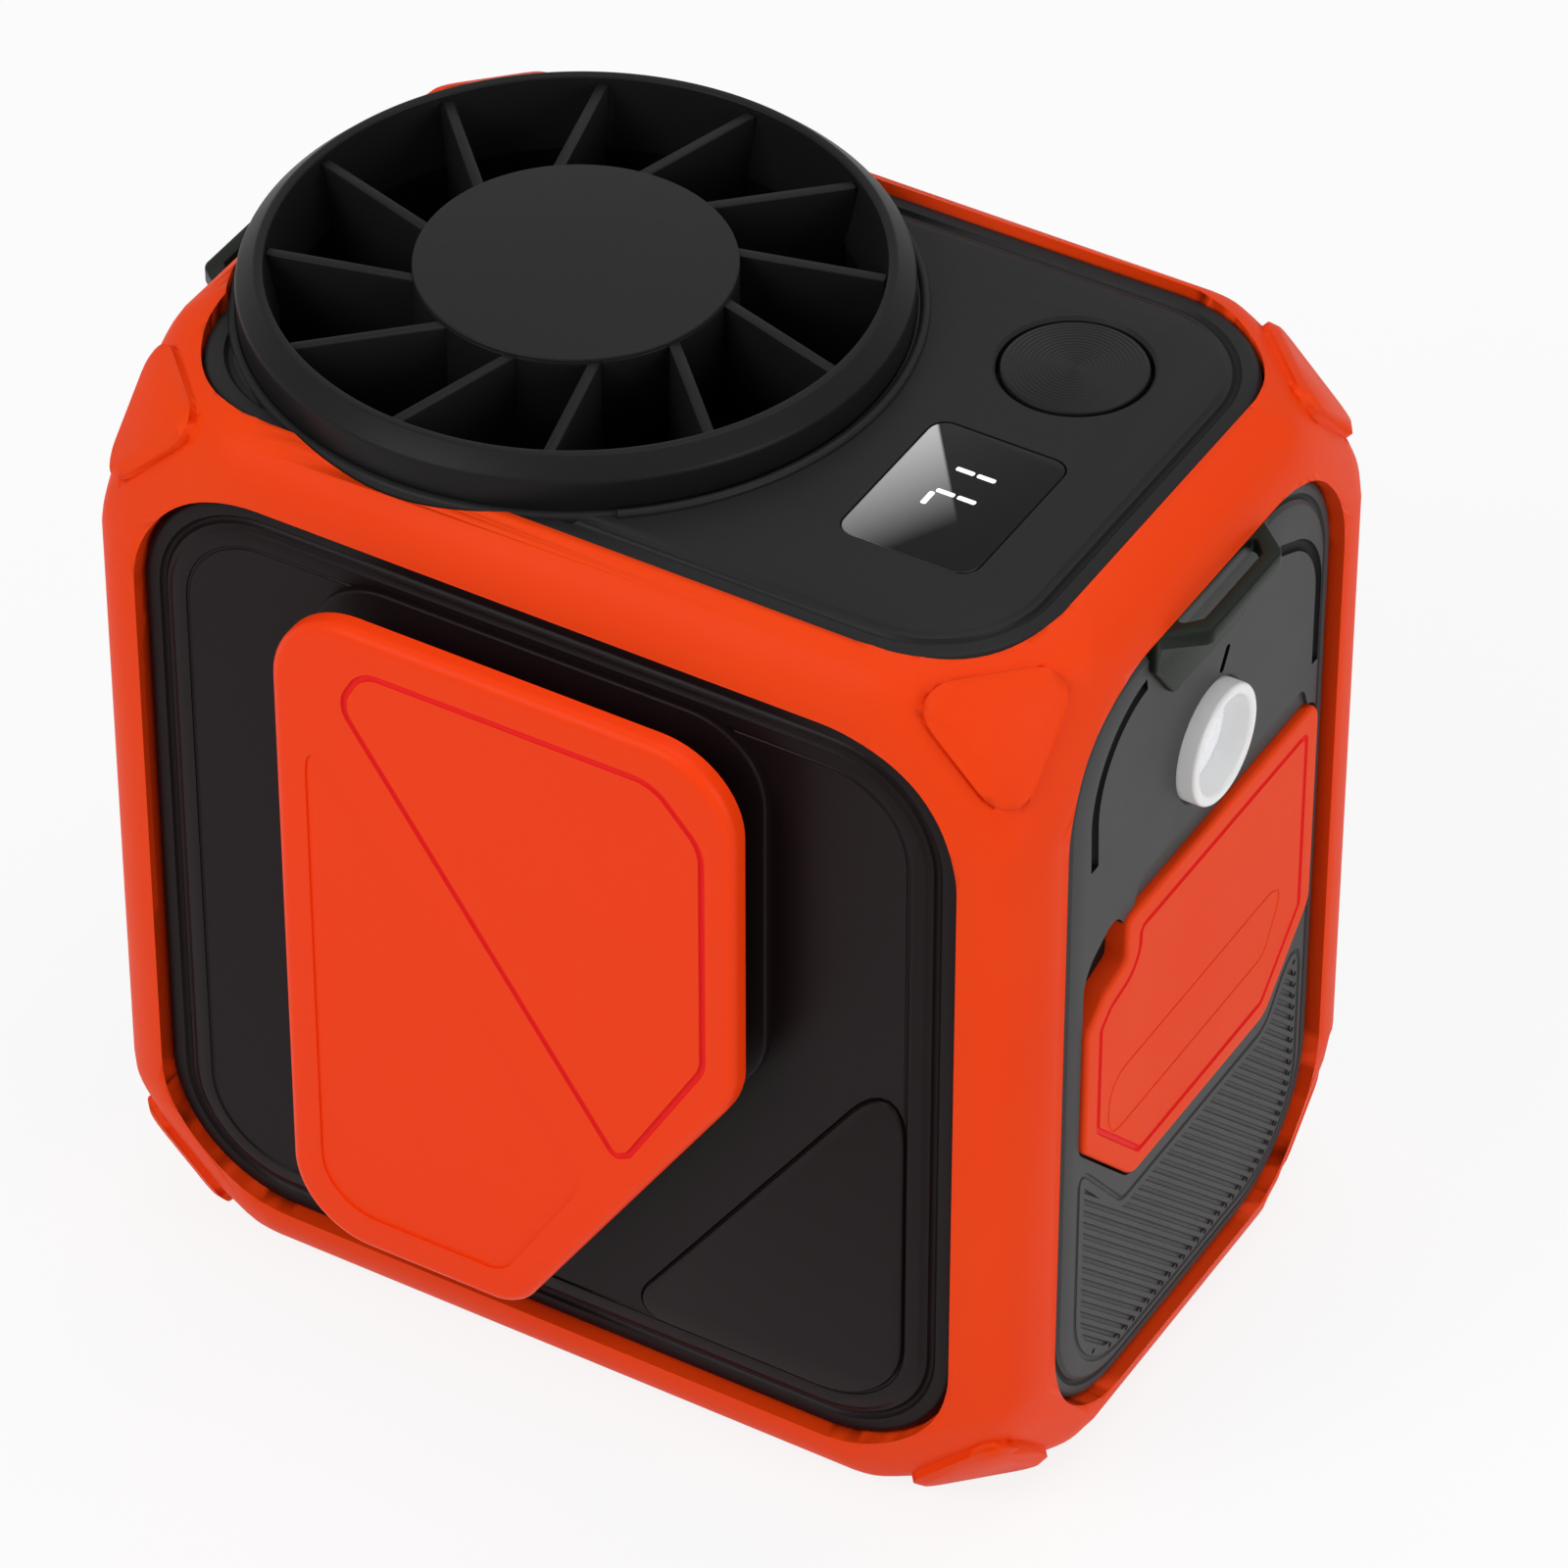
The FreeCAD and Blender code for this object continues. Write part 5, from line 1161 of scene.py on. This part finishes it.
def make_floor():
    """Wide pale floor that keeps the object's shadow."""
    bm = bmesh.new()
    bmesh.ops.create_grid(bm, x_segments=1, y_segments=1, size=FLOOR_SIZE)
    mesh = bpy.data.meshes.new("floor")
    bm.to_mesh(mesh)
    bm.free()
    floor = bpy.data.objects.new("floor", mesh)
    bpy.context.scene.collection.objects.link(floor)
    shader = Shader(bpy.data.materials.new("floor_white"))
    shader.set(Base_Color=(0.9, 0.9, 0.9, 1.0), Roughness=0.9)
    glow = shader.node("ShaderNodeEmission", {}, Color=(1.0, 1.0, 1.0, 1.0), Strength=1.0)
    surface = Value(shader, shader.tree.nodes["Principled BSDF"].outputs[0])
    mixed = shader.node("ShaderNodeMixShader", {}, shader.background_rays() * FLOOR_GLOW, surface, glow)
    shader.feed(shader.tree.nodes["Material Output"].inputs["Surface"], mixed)
    mesh.materials.append(shader.owner)


def make_world():
    """Even white surroundings: full white where they are seen or mirrored, softer as light."""
    world = bpy.data.worlds.new("studio")
    bpy.context.scene.world = world
    shader = Shader(world)
    shader.tree.nodes.clear()
    output = shader.tree.nodes.new("ShaderNodeOutputWorld")
    light, sight = [shader.node("ShaderNodeBackground", {}, Strength=strength)
                    for strength in (WORLD_LIGHT, 1.0)]
    mixed = shader.node("ShaderNodeMixShader", {}, shader.background_rays(), light, sight)
    shader.feed(output.inputs["Surface"], mixed)


def add_lamp(name, place, size, energy):
    """Square soft lamp that looks at the object's middle."""
    lamp = bpy.data.lights.new(name, "AREA")
    lamp.shape = "SQUARE"
    lamp.size = size
    lamp.energy = energy
    holder = bpy.data.objects.new(name, lamp)
    bpy.context.scene.collection.objects.link(holder)
    holder.location = place
    aim = Vector((0, 0, HALF_HEIGHT * MM)) - Vector(place)
    holder.rotation_euler = aim.to_track_quat("-Z", "Y").to_euler()


def make_camera():
    """Camera at the photograph's viewing angle."""
    level = math.cos(CAMERA_PITCH)
    back = Vector((math.sin(CAMERA_YAW) * level, -math.cos(CAMERA_YAW) * level, math.sin(CAMERA_PITCH)))
    across = Vector((math.cos(CAMERA_YAW), math.sin(CAMERA_YAW), 0.0))
    up = back.cross(across)
    middle = Vector((0, 0, HALF_HEIGHT))
    place = middle + back * CAMERA_DISTANCE + across * CAMERA_SHIFT[0] + up * CAMERA_SHIFT[1]
    camera = bpy.data.cameras.new("camera")
    camera.sensor_width = SENSOR_WIDTH
    camera.lens = FOCAL_PIXELS / FRAME_PIXELS * SENSOR_WIDTH
    camera.clip_start = 0.01
    camera.clip_end = 20.0
    holder = bpy.data.objects.new("camera", camera)
    bpy.context.scene.collection.objects.link(holder)
    turn = Matrix((across, up, back)).transposed().to_4x4() @ Matrix.Rotation(CAMERA_ROLL, 4, "Z")
    holder.matrix_world = Matrix.Translation(place * MM) @ turn
    bpy.context.scene.camera = holder


def make_stage():
    """Floor, surroundings, lamps and camera."""
    make_floor()
    make_world()
    for lamp in LAMPS:
        add_lamp(*lamp)
    make_camera()
    bpy.context.scene.view_settings.view_transform = "Standard"


# Operators, panel and registration

class FAN_OT_cage(bpy.types.Operator):
    """Build the rubber cage"""
    bl_idname = "fan.cage"
    bl_label = "Rubber cage"

    def execute(self, context):
        make_cage()
        return {"FINISHED"}


class FAN_OT_panels(bpy.types.Operator):
    """Build the plates in the cage's windows"""
    bl_idname = "fan.panels"
    bl_label = "Window plates"

    def execute(self, context):
        make_front_panel()
        make_back_panel()
        make_base_plate()
        make_right_panel()
        make_left_panel()
        make_top_panel()
        return {"FINISHED"}


class FAN_OT_outlet(bpy.types.Operator):
    """Build the round outlet with its vanes and hub disc"""
    bl_idname = "fan.outlet"
    bl_label = "Outlet"

    def execute(self, context):
        make_outlet()
        make_hub_cap()
        return {"FINISHED"}


class FAN_OT_clip(bpy.types.Operator):
    """Build the belt clip and its seat"""
    bl_idname = "fan.clip"
    bl_label = "Belt clip"

    def execute(self, context):
        make_clip()
        make_clip_base()
        return {"FINISHED"}


class FAN_OT_flap(bpy.types.Operator):
    """Build the rubber flap over the ports"""
    bl_idname = "fan.flap"
    bl_label = "Port flap"

    def execute(self, context):
        make_flap()
        return {"FINISHED"}


class FAN_OT_controls(bpy.types.Operator):
    """Build the round key and the display"""
    bl_idname = "fan.controls"
    bl_label = "Key and display"

    def execute(self, context):
        make_key()
        make_display()
        return {"FINISHED"}


class FAN_OT_torch(bpy.types.Operator):
    """Build the torch's ring and lens"""
    bl_idname = "fan.torch"
    bl_label = "Torch"

    def execute(self, context):
        make_torch()
        return {"FINISHED"}


class FAN_OT_straps(bpy.types.Operator):
    """Build the two strap loops"""
    bl_idname = "fan.straps"
    bl_label = "Strap loops"

    def execute(self, context):
        strap_loop("right")
        strap_loop("left")
        return {"FINISHED"}


class FAN_OT_inner_parts(bpy.types.Operator):
    """Give the parts inside their finishes"""
    bl_idname = "fan.inner_parts"
    bl_label = "Inner parts"

    def execute(self, context):
        finish_inner_parts()
        return {"FINISHED"}


class FAN_OT_stage(bpy.types.Operator):
    """Set up the floor, the light and the camera"""
    bl_idname = "fan.stage"
    bl_label = "Stage"

    def execute(self, context):
        make_stage()
        return {"FINISHED"}


OPERATORS = (FAN_OT_cage, FAN_OT_panels, FAN_OT_outlet, FAN_OT_clip, FAN_OT_flap, FAN_OT_controls,
             FAN_OT_torch, FAN_OT_straps, FAN_OT_inner_parts, FAN_OT_stage)


class FAN_PT_parts(bpy.types.Panel):
    """Lists the fan's pieces and their sizes and colours"""
    bl_idname = "FAN_PT_parts"
    bl_label = "Belt fan"
    bl_space_type = "VIEW_3D"
    bl_region_type = "UI"
    bl_category = "Belt fan"

    def draw(self, context):
        for operator in OPERATORS:
            self.layout.operator(operator.bl_idname)
        for group in (context.scene.fan_sizes, context.scene.fan_colours):
            for name in group.bl_rna.properties.keys():
                if name not in ("rna_type", "name"):
                    self.layout.prop(group, name)


CLASSES = (FanSizes, FanColours) + OPERATORS + (FAN_PT_parts,)


def register():
    for cls in CLASSES:
        bpy.utils.register_class(cls)
    bpy.types.Scene.fan_sizes = PointerProperty(type=FanSizes)
    bpy.types.Scene.fan_colours = PointerProperty(type=FanColours)


def unregister():
    del bpy.types.Scene.fan_colours
    del bpy.types.Scene.fan_sizes
    for cls in reversed(CLASSES):
        bpy.utils.unregister_class(cls)


def main():
    register()
    for operator in OPERATORS:
        group, name = operator.bl_idname.split(".")
        getattr(getattr(bpy.ops, group), name)()


if __name__ == "__main__":
    main()
